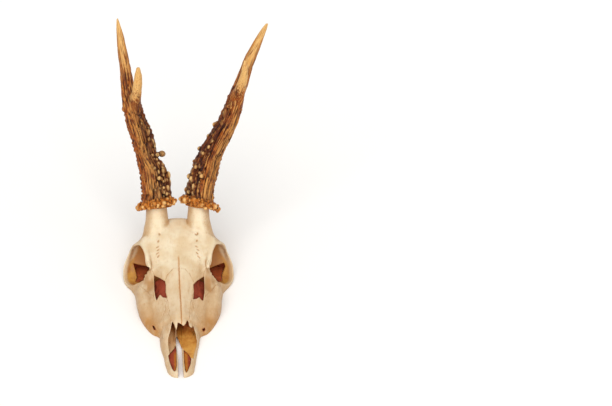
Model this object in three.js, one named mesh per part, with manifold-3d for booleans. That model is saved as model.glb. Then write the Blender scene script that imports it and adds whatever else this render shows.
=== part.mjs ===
// Skull cap of a roe deer buck with its antlers, sawn off level under the eye
// sockets, lying on the saw cut. Millimetres, +Z up, nose towards -Y.
// "left" and "right" are the animal's own sides: its left is +X.
// Heights are measured from the saw cut, lengths back from the tip of the nose.
import * as THREE from 'three';
import { mergeVertices } from 'three/addons/utils/BufferGeometryUtils.js';
import Module from 'manifold-3d';

const wasm = await Module();
wasm.setup();

// ---------------------------------------------------------------- sizes

const GAP = 0.3;             // between two bones that meet
const BONE = 2.6;            // wall of the muzzle
const PALATE = 2.2;          // floor of the nasal cavity
const NOSE_SPLIT = 10;       // the nasal bones are above this, the palate is below it
const SKULL_REAR = 204;
const CORONAL = 157;         // where the frontals meet the braincase
const CAVITY_REAR = 106;
const ROOM = { side: 60, front: -10, rear: 220, top: 90 };  // reaches past the skull all round
const ORBIT_ROOF = { front: 113, height: 17 };  // the frontals roof the orbits from here

// Outer section of the skull: distance back, half width on the cut, height, fullness
// (2 is an ellipse, more is squarer).
const SHELL = [
  [0, 5.6, 4.6, 2.2], [4, 9.3, 5.2, 2.4], [13, 11.9, 6.0, 2.4], [27, 13.8, 7.0, 2.2],
  [35, 14.8, 9.5, 2.0], [42, 15.6, 14.5, 1.9], [49, 16.2, 20.0, 1.8], [53.5, 17.2, 22.0, 1.7],
  [56.5, 21.4, 22.8, 1.6], [61, 24.9, 23.6, 1.5], [69, 28.9, 25.2, 1.55], [81, 32.9, 27.8, 1.7],
  [92, 34.5, 30.8, 1.8], [103, 35.2, 33.6, 1.95], [112, 36.8, 35.2, 2.15], [119, 41.0, 36.6, 2.5],
  [127, 44.4, 38.4, 2.8], [134, 44.9, 40.2, 2.9], [140, 43.9, 41.6, 2.8],
  [146, 39.4, 42.6, 2.5], [151, 31.0, 43.6, 2.4], [157, 26.8, 43.8, 2.4],
  [161.5, 27.2, 41.2, 2.35], [168, 28.8, 33.6, 2.2], [177, 30.0, 25.6, 2.2],
  [186, 29.0, 18.2, 2.2], [193, 26.5, 12.6, 2.3], [199, 23.0, 8.0, 2.4],
  [SKULL_REAR, 17.0, 2.4, 2.4],
];
const SHELL_RINGS = 32;
const SHELL_ARC = 12;

// Roof of the nose over the nasal bones, which reach out over the nostrils.
const NOSE_ROOF = [[-6, 15], [30, 18.4], [42, 19.8], [57, 22.8], [81, 27.8], [103, 33.6], [112, 35.2]];

const NASAL = [
  [0, 46.5], [1.3, 44.6], [3.5, 50.5], [5.3, 44.6], [6.5, 42.2], [7.3, 49], [8.6, 60],
  [9.7, 72], [11.4, 82], [13.2, 91], [9.2, 98], [5, 102.4], [0, 103.5],
];
const PREMAXILLA_UP = [[-1, -8], [24, -8], [24, 48], [17, 58], [13, 62.5], [10.2, 75], [-1, 75]];
const PREMAXILLA_DOWN = [[-1, -8], [24, -8], [24, 52], [-1, 46]];
const LACRIMAL = [
  [18.3, 77.5], [25, 90], [31, 101], [50, 106], [50, 156], [37, 156], [24, 156], [24, 124],
  [24.3, 112], [20.4, 104.4], [19.4, 92],
];
const FRONTAL = [
  [-1, 98], [9.2, 96], [13.6, 88], [20.6, 88], [20.6, 104.3], [50, 104.3], [50, CORONAL],
  [-1, CORONAL],
];
const VACUITY = [[20.4, 104], [13.5, 92.4], [9.8, 73.5], [14.5, 78.2], [16, 75.2], [18.5, 77.8]];
const FISSURE = [[4.6, 6.5], [7.2, 13], [9.2, 22], [9.3, 27], [6.6, 32], [3.7, 37], [3.4, 23], [3.7, 9]];
const MIDLINE_GAP = [[0, 52], [1.5, 27], [1.9, 10], [2.9, 1.5], [3.4, -2], [-1, -2], [-1, 52]];
const SOCKET_FLOOR = [
  [29, 130.5], [35, 130], [37, 138], [36.4, 147], [30, 150.5], [25.6, 147], [26.6, 138],
];

const SOCKET = { at: [40, 126.5, 19.5], radii: [16, 16.2, 16.8] };
const SOCKET_BACK = { at: [31.2, 141.5, 5], radii: [6.6, 12, 10] };
const TEMPLE = { at: [46, 162, 14], radii: [13.5, 15, 24] };
const INFRAORBITAL = { at: [21.5, 63, 5.5], radii: [2.2, 3.4, 2.2] };
const BROW_FORAMEN = { at: [17.5, 131, 39.5], radii: [1.2, 6.5, 3.2] };

const LINING = { front: 66, back: 104, under_roof: 6.5 };
const SOCKET_PAD = 1.2;      // thickness of the dried tissue on the floor of a socket

// The antlers stand in a frame of their own: out (X), up along the pedicle, and forward.
const PEDICLE_TILT = THREE.MathUtils.degToRad(53);
const BURR_CENTRE = new THREE.Vector3(0, 161, 54.5);
const UP = new THREE.Vector3(0, Math.cos(PEDICLE_TILT), Math.sin(PEDICLE_TILT));
const FORWARD = new THREE.Vector3(0, -Math.sin(PEDICLE_TILT), Math.cos(PEDICLE_TILT));
const PEDICLE = [[17, -30, -9, 11], [17, -20, -4, 11], [17, -11.5, -0.8, 9.3], [17.2, -3.4, 0, 8.6]];
const BURR = { radius: 16.2, beads: 10, bead: 0.06 };
const BURR_PROFILE = [[-4.2, 0.6], [-3.1, 0.92], [-0.6, 1], [2.1, 0.97], [3.9, 0.66]];
const LIMB_SIDES = 12;
const RIDGE = 0.035;         // depth of the lengthwise ridges, as a share of the radius

// Each row: out, up, forward, radius.
const ANTLERS = {
  left: {
    side: 1,
    burr: { x: 18.4, tilt: 0.26 },
    beam: [
      [18.4, -1, 0, 11.6], [19.2, 8.2, 0, 10.2], [22.4, 23.8, -0.6, 9.7], [26, 36.2, -0.8, 9.3],
      [30.3, 46, -0.6, 8.9], [35.4, 55, 0, 8.2], [41.4, 66, 0.8, 7.4], [46.2, 77.3, 1.6, 6.5],
      [48.7, 86, 1.2, 6.1],
    ],
    top: [
      [48.7, 86, 1.2, 6.1], [53.6, 99, -0.8, 5.4], [56.9, 108, -2.6, 4.7], [62.3, 121.7, -5.6, 4.2],
      [66.7, 130.5, -7.8, 3.6], [72.8, 142.7, -10.9, 2.1], [76, 148.4, -12.3, 0.6],
    ],
    tine: [
      [48.7, 82, 2, 5.2], [53, 95, 9.5, 4.3], [56.2, 105.5, 16, 3.1], [56.8, 112.5, 19.6, 2.2],
      [56.7, 117, 21.6, 0.6],
    ],
    pearls: { count: 11, seed: 7 },
  },
  right: {
    side: -1,
    burr: { x: 17.3, tilt: 0.18 },
    beam: [
      [17.8, -1, 0, 11.9], [17.6, 8.2, 0, 10.8], [19, 19.3, -0.6, 10], [21, 31, -0.8, 9.5],
      [25.2, 41.5, -0.6, 8], [28, 53, 0, 7.9], [31.2, 64, 0.8, 8.1], [34.8, 75, 1.6, 7.2],
      [37, 84, 1.2, 6.6],
    ],
    top: [
      [37, 84, 1.2, 6.6], [39.3, 97, -0.8, 5.3], [41.3, 113.8, -4, 4.4], [43.9, 131, -7.8, 3.5],
      [46.1, 147.1, -11.2, 1.9], [47.1, 154.3, -12.4, 0.6],
    ],
    tine: [
      [35.2, 76, 2, 5.4], [32.9, 88, 8, 4.3], [31.2, 100, 14.4, 3.6], [30.7, 107.5, 18, 2.9],
      [30.7, 112, 20, 0.8],
    ],
    pearls: { count: 10, seed: 3 },
  },
};
const PEARL_RADIUS = [1.9, 3.1];
const FORK_ROOM = 0.42;      // between a beam's own surface and the parts that branch off it

// -------------------------------------------------------------- shapes

const table = (rows) => new THREE.CubicInterpolant(
  rows.map((row) => row[0]), rows.flatMap((row) => row.slice(1)), rows[0].length - 1,
);
const shellAt = table(SHELL);
const noseRoofAt = table(NOSE_ROOF);

/** Closed skin over rings of equal length, with a fan at both ends. */
function skin(rings) {
  const count = rings[0].length;
  const points = rings.flat();
  const index = [];
  for (let r = 0; r + 1 < rings.length; r++) {
    for (let i = 0; i < count; i++) {
      const a = r * count + i;
      const b = r * count + (i + 1) % count;
      index.push(a, b, b + count, a, b + count, a + count);
    }
  }
  [0, rings.length - 1].forEach((r, last) => {
    const middle = new THREE.Vector3();
    rings[r].forEach((p) => middle.addScaledVector(p, 1 / count));
    points.push(middle);
    for (let i = 0; i < count; i++) {
      const a = r * count + i;
      const b = r * count + (i + 1) % count;
      index.push(points.length - 1, last ? a : b, last ? b : a);
    }
  });
  const geometry = new THREE.BufferGeometry().setFromPoints(points);
  geometry.setIndex(index);
  return geometry;
}

/** Half-oval section of the skull at y, inset by a wall, with its base at height floor. */
function shellRing(y, inset = 0, floor = 0, roof = null) {
  const [halfWidth, height, fullness] = shellAt.evaluate(y);
  const top = (roof ?? height) - inset;
  const power = 2 / fullness;
  const ring = [];
  for (let i = 0; i <= SHELL_ARC; i++) {
    const angle = Math.PI * i / SHELL_ARC;
    const c = Math.cos(angle);
    const x = (halfWidth - inset) * Math.sign(c) * Math.abs(c) ** power;
    const z = floor + (top - floor) * Math.abs(Math.sin(angle)) ** power;
    ring.push(new THREE.Vector3(x, y, z));
  }
  return ring;
}

function loft(from, to, steps, ringAt) {
  const rings = [];
  for (let i = 0; i <= steps; i++) rings.push(ringAt(from + (to - from) * i / steps));
  return solid(skin(rings));
}

/** Round limb through [out, up, forward, radius] rows of an antler frame. */
function limb(rows, side, { grow = 0, sides = LIMB_SIDES, steps = rows.length + 3, ridges = 6 } = {}) {
  const centres = new THREE.CatmullRomCurve3(rows.map((row) => antlerPoint(row, side)));
  const radiusAt = table(rows.map((row, i) => [i / (rows.length - 1), row[3]]));
  const rings = [];
  for (let i = 0; i <= steps; i++) {
    const t = i / steps;
    const tangent = centres.getTangent(t);
    const across = new THREE.Vector3(1, 0, 0).cross(tangent).normalize();
    const along = tangent.clone().cross(across);
    const radius = radiusAt.evaluate(t)[0] + grow;
    rings.push(Array.from({ length: sides }, (_, k) => {
      const angle = 2 * Math.PI * k / sides;
      const r = radius * (1 + RIDGE * Math.cos(ridges * angle));
      return centres.getPoint(t)
        .addScaledVector(along, r * Math.cos(angle)).addScaledVector(across, r * Math.sin(angle));
    }));
  }
  return solid(skin(rings));
}

/** A body moved along the pedicle. */
const raised = (body, by) => body.translate(UP.clone().multiplyScalar(by).toArray());

/** Room of a body with the gaps just above and below it. */
const gapOver = (body) => joined([-GAP, 0, GAP].map((by) => raised(body, by)));

function antlerPoint([out, up, forward], side) {
  return BURR_CENTRE.clone().addScaledVector(UP, up).addScaledVector(FORWARD, forward)
    .setX(side * out);
}

function ellipsoid({ at, radii }, side) {
  const geometry = new THREE.SphereGeometry(1, 14, 8);
  geometry.scale(...radii).translate(side * at[0], at[1], at[2]);
  return solid(geometry);
}

function prism(outline, side, low = -5, high = 90) {
  const shape = new THREE.Shape(outline.map(([x, y]) => new THREE.Vector2(side * x, y)));
  const geometry = new THREE.ExtrudeGeometry(shape, { depth: high - low, bevelEnabled: false });
  return solid(geometry.translate(0, 0, low));
}

function box(low, high) {
  const size = high.map((value, i) => value - low[i]);
  const geometry = new THREE.BoxGeometry(...size);
  return solid(geometry.translate(...low.map((value, i) => value + size[i] / 2)));
}

/** All the room from y = front to y = rear, or the part of it from x = low to x = high. */
function roomFrom(front, rear, low = -ROOM.side, high = ROOM.side) {
  return box([low, front, -1], [high, rear, ROOM.top]);
}

// ------------------------------------------------- joining and cutting

function solid(geometry) {
  const bare = geometry.clone();
  bare.deleteAttribute('normal');
  bare.deleteAttribute('uv');
  const merged = mergeVertices(bare, 1e-4);
  const triVerts = new Uint32Array(merged.index.array);
  const vertProperties = new Float32Array(merged.attributes.position.array);
  const made = new wasm.Manifold(new wasm.Mesh({ numProp: 3, vertProperties, triVerts }));
  if (made.volume() > 0) return made;
  for (let i = 0; i < triVerts.length; i += 3) {
    [triVerts[i], triVerts[i + 1]] = [triVerts[i + 1], triVerts[i]];
  }
  return new wasm.Manifold(new wasm.Mesh({ numProp: 3, vertProperties, triVerts }));
}

const joined = (solids) => solids.reduce((all, one) => all.add(one));
const cut = (body, ...tools) => tools.reduce((rest, tool) => rest.subtract(tool), body);
const grown = (outline, by) => {
  const middle = outline.reduce((sum, p) => sum.map((v, i) => v + p[i] / outline.length), [0, 0]);
  return outline.map((p) => {
    const away = new THREE.Vector2(p[0] - middle[0], p[1] - middle[1]);
    away.setLength(away.length() + by);
    return [middle[0] + away.x, middle[1] + away.y];
  });
};

/** Largest connected body of a solid, which drops the crumbs that a cut leaves. */
function wholeBody(body) {
  const bodies = body.decompose();
  return bodies.reduce((best, one) => (one.volume() > best.volume() ? one : best));
}

function meshOf(name, body, material) {
  const { vertProperties, triVerts } = wholeBody(body).getMesh();
  const geometry = new THREE.BufferGeometry();
  geometry.setAttribute('position', new THREE.BufferAttribute(vertProperties, 3));
  geometry.setIndex(new THREE.BufferAttribute(triVerts, 1));
  geometry.computeVertexNormals();
  const mesh = new THREE.Mesh(geometry, material);
  mesh.name = name;
  return mesh;
}

// ----------------------------------------------------------- materials

const finish = (color, roughness) => new THREE.MeshStandardMaterial({ color, roughness, metalness: 0 });
const BONE_FINISH = finish(0xeadcbb, 0.6);
const TISSUE_FINISH = finish(0x7b3726, 0.75);
const BURR_FINISH = finish(0xb97f38, 0.55);
const ANTLER_FINISH = finish(0x7a4a24, 0.5);
const TINE_FINISH = finish(0xd9a869, 0.4);

// --------------------------------------------------------------- skull

const SIDES = [['left', 1], ['right', -1]];
const bothSides = (make) => joined(SIDES.map(([, side]) => make(side)));

function noseRing(y, inset, floor) {
  return shellRing(y, inset, floor, noseRoofAt.evaluate(y)[0]);
}

/** Space inside the nose, open at the nostrils. */
function nasalCavity() {
  const channel = (y) => noseRing(y, y < 50 ? BONE + 1 : BONE, PALATE);
  return loft(5, CAVITY_REAR, 16, channel);
}

/** Stumps that carry the antlers, cut flush under the burrs. */
function pedicles(grow = 0) {
  return bothSides((side) => limb(PEDICLE, side, { sides: 12, ridges: 0, steps: 5, grow })
    .subtract(gapOver(burr(side))));
}

/** The whole skull as one body, before it is parted into its bones. */
function cranium() {
  const shell = loft(0, SKULL_REAR, SHELL_RINGS, (y) => shellRing(y)).add(pedicles());
  const under = box([-ROOM.side, ROOM.front, -40], [ROOM.side, ROOM.rear, 0]);
  const holes = bothSides((side) => joined([
    ellipsoid(SOCKET, side), ellipsoid(SOCKET_BACK, side), ellipsoid(TEMPLE, side),
    ellipsoid(INFRAORBITAL, side), ellipsoid(BROW_FORAMEN, side),
    prism(SOCKET_FLOOR, side, -1, 8), prism(VACUITY, side, 12), prism(FISSURE, side),
    prism(MIDLINE_GAP, side, -1, 60),
  ]));
  return cut(shell, under, nasalCavity(), holes);
}

function nasalPlate() {
  const outer = loft(40, 108, 10, (y) => noseRing(y, 0, 0));
  return outer.subtract(loft(38, 110, 10, (y) => noseRing(y, BONE, 0)));
}

function skullMeshes() {
  const whole = cranium();
  const halves = {
    left: roomFrom(ROOM.front, ROOM.rear, GAP / 2, ROOM.side),
    right: roomFrom(ROOM.front, ROOM.rear, -ROOM.side, -GAP / 2),
  };
  const nasalCut = bothSides((side) => prism(grown(NASAL, GAP), side, NOSE_SPLIT));
  const lacrimalCut = bothSides((side) => orbitSpace(side, GAP));
  const meshes = [];
  SIDES.forEach(([name, side]) => {
    const premaxilla = prism(PREMAXILLA_UP, side, NOSE_SPLIT, 40)
      .add(prism(PREMAXILLA_DOWN, side, -1, NOSE_SPLIT));
    const premaxillaCut = prism(grown(PREMAXILLA_UP, GAP), side, NOSE_SPLIT - GAP, 40)
      .add(prism(grown(PREMAXILLA_DOWN, GAP), side, -2, NOSE_SPLIT));
    const face = cut(whole.intersect(halves[name]), nasalCut);
    const nasal = nasalPlate().intersect(prism(NASAL, side, NOSE_SPLIT)).intersect(halves[name]);
    const maxilla = cut(face, premaxillaCut, lacrimalCut, foreheadSpace(GAP, ROOM.rear));
    meshes.push(
      meshOf(`nasal_${name}`, nasal, BONE_FINISH),
      meshOf(`premaxilla_${name}`, face.intersect(premaxilla), BONE_FINISH),
      meshOf(`maxilla_${name}`, maxilla, BONE_FINISH),
      meshOf(`orbit_${name}`, face.intersect(orbitSpace(side, 0)), BONE_FINISH),
    );
  });
  const frontals = foreheadSpace(0).add(pedicles());
  const braincase = roomFrom(CORONAL + GAP, ROOM.rear).subtract(pedicles(GAP));
  meshes.push(
    meshOf('forehead', cut(whole.intersect(frontals), nasalCut, lacrimalCut), BONE_FINISH),
    meshOf('braincase', whole.intersect(braincase), BONE_FINISH),
  );
  return meshes;
}

/** Room of the frontals, which reach forward beside the nasals, and of the solid below them. */
function foreheadSpace(by, rear = CORONAL) {
  return bothSides((side) => prism(grown(FRONTAL, by), side, NOSE_SPLIT - by))
    .add(roomFrom(CAVITY_REAR - by, rear));
}

/** Room of the lacrimal and cheek bones: all of the orbit but its roof. */
function orbitSpace(side, by) {
  return prism(grown(LACRIMAL, by), side, -1, 60)
    .subtract(roomFrom(ORBIT_ROOF.front + by, ROOM.rear).trimByPlane([0, 0, 1], ORBIT_ROOF.height + by));
}

function liningMeshes() {
  const inset = BONE + GAP;
  const lining = loft(LINING.front, LINING.back, 6, (y) => {
    const roof = noseRoofAt.evaluate(y)[0] - LINING.under_roof;
    return shellRing(y, inset, PALATE + GAP, roof + inset);
  });
  const pads = SIDES.map(([name, side]) => meshOf(
    `socket_lining_${name}`, prism(grown(SOCKET_FLOOR, -GAP - 0.1), side, 0, SOCKET_PAD), TISSUE_FINISH,
  ));
  return [meshOf('nose_lining', lining, TISSUE_FINISH), ...pads];
}

// -------------------------------------------------------------- antlers

function burr(side) {
  const { x, tilt } = Object.values(ANTLERS).find((antler) => antler.side === side).burr;
  const axis = new THREE.Quaternion().setFromAxisAngle(FORWARD, -side * tilt);
  const up = UP.clone().applyQuaternion(axis);
  const out = new THREE.Vector3(1, 0, 0).applyQuaternion(axis);
  const centre = BURR_CENTRE.clone().setX(side * x);
  const sides = BURR.beads * 3;
  const rings = BURR_PROFILE.map(([height, share]) => Array.from({ length: sides }, (_, k) => {
    const angle = 2 * Math.PI * k / sides;
    const radius = BURR.radius * share * (1 + BURR.bead * Math.cos(BURR.beads * angle));
    return centre.clone().addScaledVector(up, height)
      .addScaledVector(out, radius * Math.cos(angle))
      .addScaledVector(FORWARD, radius * Math.sin(angle));
  }));
  return solid(skin(rings));
}

/** Seeded random numbers from 0 to 1. */
function dice(seed) {
  let state = seed * 7919 + 13;
  return () => {
    state = (state * 16807) % 2147483647;
    return state / 2147483647;
  };
}

/** Pearls on the lower beam, most of them on its inner and front faces. */
function pearls({ side, beam, pearls: { count, seed } }) {
  const roll = dice(seed);
  const rowAt = table(beam.map((row, i) => [i / (beam.length - 1), ...row]));
  return joined(Array.from({ length: count }, (_, i) => {
    const [out, up, forward, radius] = rowAt.evaluate(0.1 + 0.85 * (i + roll() * 0.6) / count);
    const angle = Math.PI * (0.5 + 0.62 * roll());
    const size = PEARL_RADIUS[0] + (PEARL_RADIUS[1] - PEARL_RADIUS[0]) * roll();
    const reach = radius + size * 0.25;
    const centre = antlerPoint(
      [out + reach * Math.cos(angle), up, forward + reach * Math.sin(angle)], side,
    );
    const geometry = new THREE.IcosahedronGeometry(size, 0).rotateX(roll() * 3);
    return solid(geometry.translate(centre.x, centre.y, centre.z));
  }));
}

function antlerMeshes([name, antler]) {
  const { side } = antler;
  const coronet = burr(side);
  const beam = limb(antler.beam, side).add(pearls(antler));
  const top = limb(antler.top, side);
  const tine = limb(antler.tine, side, { ridges: 0, sides: 10 });
  const beamCut = limb(antler.beam, side, { grow: FORK_ROOM });
  const topCut = limb(antler.top, side, { grow: FORK_ROOM });
  const stub = gapOver(beam);
  return [
    meshOf(`antler_${name}_burr`, coronet, BURR_FINISH),
    meshOf(`antler_${name}_beam`, cut(beam, gapOver(coronet)), ANTLER_FINISH),
    meshOf(`antler_${name}_top`, cut(raised(top, GAP), stub), TINE_FINISH),
    meshOf(`antler_${name}_tine`, cut(tine, beamCut, topCut, stub), TINE_FINISH),
  ];
}

// ------------------------------------------------------------- assembly

const skull = new THREE.Group();
skull.add(...skullMeshes(), ...liningMeshes(), ...Object.entries(ANTLERS).flatMap(antlerMeshes));

// The origin is under the middle of the whole skull, on the surface that it lies on.
const extent = new THREE.Box3().setFromObject(skull, true);
const middle = extent.getCenter(new THREE.Vector3());
skull.position.set(-middle.x, -middle.y, 0);

export default skull;
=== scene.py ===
"""A roe deer skull cap with its antlers, life size, lying on its saw cut.

The bones and antlers have no straight edge or round arc, so each one is modelled as clay: a block of
signed distances in millimetres, which tools add to and carve from, and which is then cast as a mesh.
Lengths in the clay are millimetres in the skull's own frame: x to the animal's left from the midline,
y back from the tip of the nose, z up from the saw cut.
"""

import logging
import math
from dataclasses import dataclass, field
from enum import Enum
from functools import reduce
from typing import Callable, Protocol, Sequence

import bpy
import numpy as np
import openvdb
from mathutils import Matrix, Vector

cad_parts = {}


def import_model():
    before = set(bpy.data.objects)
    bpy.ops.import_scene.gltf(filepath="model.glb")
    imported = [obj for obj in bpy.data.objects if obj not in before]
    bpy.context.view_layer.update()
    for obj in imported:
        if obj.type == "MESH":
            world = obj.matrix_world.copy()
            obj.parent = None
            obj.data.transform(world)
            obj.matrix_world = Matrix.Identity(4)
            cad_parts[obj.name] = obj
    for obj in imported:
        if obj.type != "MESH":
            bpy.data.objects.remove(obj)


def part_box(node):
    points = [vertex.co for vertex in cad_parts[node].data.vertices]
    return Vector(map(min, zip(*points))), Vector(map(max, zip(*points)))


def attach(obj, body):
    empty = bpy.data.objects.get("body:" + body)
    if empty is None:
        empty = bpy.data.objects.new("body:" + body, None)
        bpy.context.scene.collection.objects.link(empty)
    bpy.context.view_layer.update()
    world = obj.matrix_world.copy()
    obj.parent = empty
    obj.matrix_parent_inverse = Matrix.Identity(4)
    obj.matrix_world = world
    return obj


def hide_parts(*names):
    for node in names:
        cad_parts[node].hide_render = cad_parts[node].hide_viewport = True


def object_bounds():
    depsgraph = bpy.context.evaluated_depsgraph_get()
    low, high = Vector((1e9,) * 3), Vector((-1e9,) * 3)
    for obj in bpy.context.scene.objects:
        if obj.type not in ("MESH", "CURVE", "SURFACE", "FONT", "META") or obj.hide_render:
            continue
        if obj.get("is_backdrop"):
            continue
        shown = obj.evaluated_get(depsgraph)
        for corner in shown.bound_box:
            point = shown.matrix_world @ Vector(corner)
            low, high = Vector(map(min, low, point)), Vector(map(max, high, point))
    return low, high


log = logging.getLogger("skull")

Array = np.ndarray
Rows = Sequence[Sequence[float]]
Outline = Sequence[tuple[float, float]]
Corner = Sequence[float]
Spots = tuple[np.ndarray, np.ndarray, np.ndarray]
Cut = tuple[slice, ...]
Placer = Callable[[np.ndarray], np.ndarray]
Material = bpy.types.Material
Piece = bpy.types.Object
Socket = bpy.types.NodeSocket
Tree = bpy.types.NodeTree

MM = 0.001
BAND = 3.0  # mm, distances further from a surface than this are cut off
FAR = 30.0  # mm, the same for the first form of a piece, before tools work on it
EVERYWHERE = (slice(None),) * 3

# The face plane leans back, square to a line of sight 37 degrees above level. The openings of the face
# are drawn on it, and the antlers rise along it.
LEAN = math.radians(53)
UP = (0.0, math.cos(LEAN), math.sin(LEAN))
FORWARD = (0.0, -math.sin(LEAN), math.cos(LEAN))
BURR_CENTRE = (161.0, 54.5)  # y, z


class Side(Enum):
    """The animal's own sides, as the sign of x."""

    LEFT = 1
    RIGHT = -1

    @property
    def word(self) -> str:
        """Name of the side in a piece's name."""
        return self.name.lower()


# ------------------------------------------------------------------------------------- numbers


def curve(rows: Rows, at: Array) -> Array:
    """Smooth curve through rows of numbers.

    Args:
        rows: the place along the curve, then the values there.
        at: places to read.

    Returns:
        The values at each place, one column for each value.
    """
    table = np.asarray(rows, np.float64)
    place, values = table[:, 0], table[:, 1:]
    slope = np.gradient(values, place, axis=0)
    low = np.clip(np.searchsorted(place, at, side="right") - 1, 0, len(place) - 2)
    span = (place[low + 1] - place[low])[..., None]
    t = np.clip((at - place[low])[..., None] / span, 0, 1)
    return (
        (2 * t**3 - 3 * t**2 + 1) * values[low] + (t**3 - 2 * t**2 + t) * span * slope[low]
        + (3 * t**2 - 2 * t**3) * values[low + 1] + (t**3 - t**2) * span * slope[low + 1]
    )


def ease(low: float, high: float, value: Array) -> Array:
    """Goes smoothly from 0 at low to 1 at high."""
    t = np.clip((value - low) / (high - low), 0, 1)
    return t * t * (3 - 2 * t)


def soft_min(a: Array, b: Array, blend: float | Array) -> Array:
    """Union of two distances with a fillet of about that size."""
    near = np.maximum(blend - np.abs(a - b), 0) / blend
    return np.minimum(a, b) - near * near * (blend / 4)


def soft_max(a: Array, b: Array, blend: float | Array) -> Array:
    """Common part of two distances with a rounded edge of about that size."""
    return -soft_min(-a, -b, blend)


def outline_distance(outline: Outline, u: Array, v: Array) -> Array:
    """Signed distance from a closed outline, negative inside it."""
    shape = np.broadcast_shapes(u.shape, v.shape)
    nearest = np.full(shape, 1e9, np.float32)
    inside = np.zeros(shape, bool)
    for (au, av), (bu, bv) in zip(outline, [*outline[1:], outline[0]]):
        eu, ev = bu - au, bv - av
        t = np.clip(((u - au) * eu + (v - av) * ev) / (eu * eu + ev * ev), 0, 1)
        nearest = np.minimum(nearest, (u - au - eu * t) ** 2 + (v - av - ev * t) ** 2)
        if ev:
            inside ^= ((av <= v) != (bv <= v)) & (u < au + (v - av) * (eu / ev))
    away = np.sqrt(nearest)
    return np.where(inside, -away, away).astype(np.float32)


def waves(axes: Sequence[Array], cell: Sequence[float], seed: int, wrap: bool = False) -> Array:
    """Soft random swell from -1 to 1 on a grid of any number of axes.

    Args:
        axes: the places along each axis.
        cell: size of a swell along each axis, in the same unit.
        seed: number that sets the pattern.
        wrap: the first axis closes on itself, and its places run from 0 to a whole number of cells.

    Returns:
        An array with one value for each spot of the grid.
    """
    rolls = np.random.default_rng(seed)
    steps = [(axis - axis[0]) / size for axis, size in zip(axes, cell)]
    counts = [int(step[-1]) + 3 for step in steps]
    lattice = rolls.uniform(-1, 1, counts).astype(np.float32)
    if wrap:
        turns = int(round(steps[0][-1] + steps[0][1]))
        lattice[turns] = lattice[0]
    for k, step in enumerate(steps):
        low = step.astype(int)
        t = step - low
        t = (t * t * t * (t * (6 * t - 15) + 10)).astype(np.float32)
        t = t.reshape([-1 if j == k else 1 for j in range(len(axes))])
        lattice = np.take(lattice, low, axis=k) * (1 - t) + np.take(lattice, low + 1, axis=k) * t
    return lattice


# ---------------------------------------------------------------------------------------- clay


class Tool(Protocol):
    """A shape that clay is added in or carved with."""

    def span(self) -> tuple[Corner, Corner]:
        """Lowest and highest corner of the shape."""

    def distance(self, x: Array, y: Array, z: Array) -> Array:
        """Signed distance from its surface, negative inside."""


@dataclass(frozen=True)
class Blob:
    """An ellipsoid, turned about x."""

    at: tuple[float, float, float]
    radii: tuple[float, float, float]
    pitch: float = 0.0

    def on(self, side: Side) -> "Blob":
        """The same ellipsoid on that side of the skull."""
        return Blob((side.value * self.at[0], *self.at[1:]), self.radii, self.pitch)

    def span(self) -> tuple[Corner, Corner]:
        """Lowest and highest corner of the ellipsoid."""
        radii = (max(self.radii),) * 3 if self.pitch else self.radii
        return [a - r for a, r in zip(self.at, radii)], [a + r for a, r in zip(self.at, radii)]

    def distance(self, x: Array, y: Array, z: Array) -> Array:
        """Distance from the ellipsoid, close to true near its surface."""
        x, y, z = x - self.at[0], y - self.at[1], z - self.at[2]
        if self.pitch:
            c, s = math.cos(self.pitch), math.sin(self.pitch)
            y, z = c * y + s * z, c * z - s * y
        a, b, c = self.radii
        k = np.sqrt((x / a) ** 2 + (y / b) ** 2 + (z / c) ** 2)
        steep = np.sqrt((x / a**2) ** 2 + (y / b**2) ** 2 + (z / c**2) ** 2)
        return k * (k - 1) / np.maximum(steep, 1e-6)


@dataclass(frozen=True)
class Rod:
    """A round bar along a line of points, each with its own radius."""

    points: Rows

    def span(self) -> tuple[Corner, Corner]:
        """Lowest and highest corner of the bar."""
        spots = np.asarray(self.points)
        return (spots[:, :3] - spots[:, 3:]).min(0), (spots[:, :3] + spots[:, 3:]).max(0)

    def distance(self, x: Array, y: Array, z: Array) -> Array:
        """Distance from the nearest stretch of the bar."""
        best = None
        for (ax, ay, az, ar), (bx, by, bz, br) in zip(self.points, self.points[1:]):
            ex, ey, ez = bx - ax, by - ay, bz - az
            t = ((x - ax) * ex + (y - ay) * ey + (z - az) * ez) / (ex * ex + ey * ey + ez * ez)
            t = np.clip(t, 0, 1)
            away = (x - ax - ex * t) ** 2 + (y - ay - ey * t) ** 2 + (z - az - ez * t) ** 2
            away = np.sqrt(away) - (ar + (br - ar) * t)
            best = away if best is None else np.minimum(best, away)
        return best


@dataclass(frozen=True)
class Window:
    """A hole of a drawn outline, cut square to the face plane.

    Attributes:
        outline: across and up on the face plane.
        depth: how far forward it starts and ends, along the line square to the face plane.
        floor: height that it doesn't cut below.
    """

    outline: Outline
    depth: tuple[float, float]
    floor: float = -5.0

    def span(self) -> tuple[Corner, Corner]:
        """Lowest and highest corner of the hole."""
        drawn = np.asarray(self.outline)
        spots = np.array([np.array(UP) * v + np.array(FORWARD) * f for v in drawn[:, 1] for f in self.depth])
        low, high = spots.min(0), spots.max(0)
        return (drawn[:, 0].min(), low[1], max(low[2], self.floor)), (drawn[:, 0].max(), high[1], high[2])

    def distance(self, x: Array, y: Array, z: Array) -> Array:
        """Distance from the walls of the hole."""
        up = y * UP[1] + z * UP[2]
        forward = y * FORWARD[1] + z * FORWARD[2]
        away = outline_distance(self.outline, x, up)
        away = np.maximum(away, np.maximum(self.depth[0] - forward, forward - self.depth[1]))
        return np.maximum(away, self.floor - z)


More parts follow.
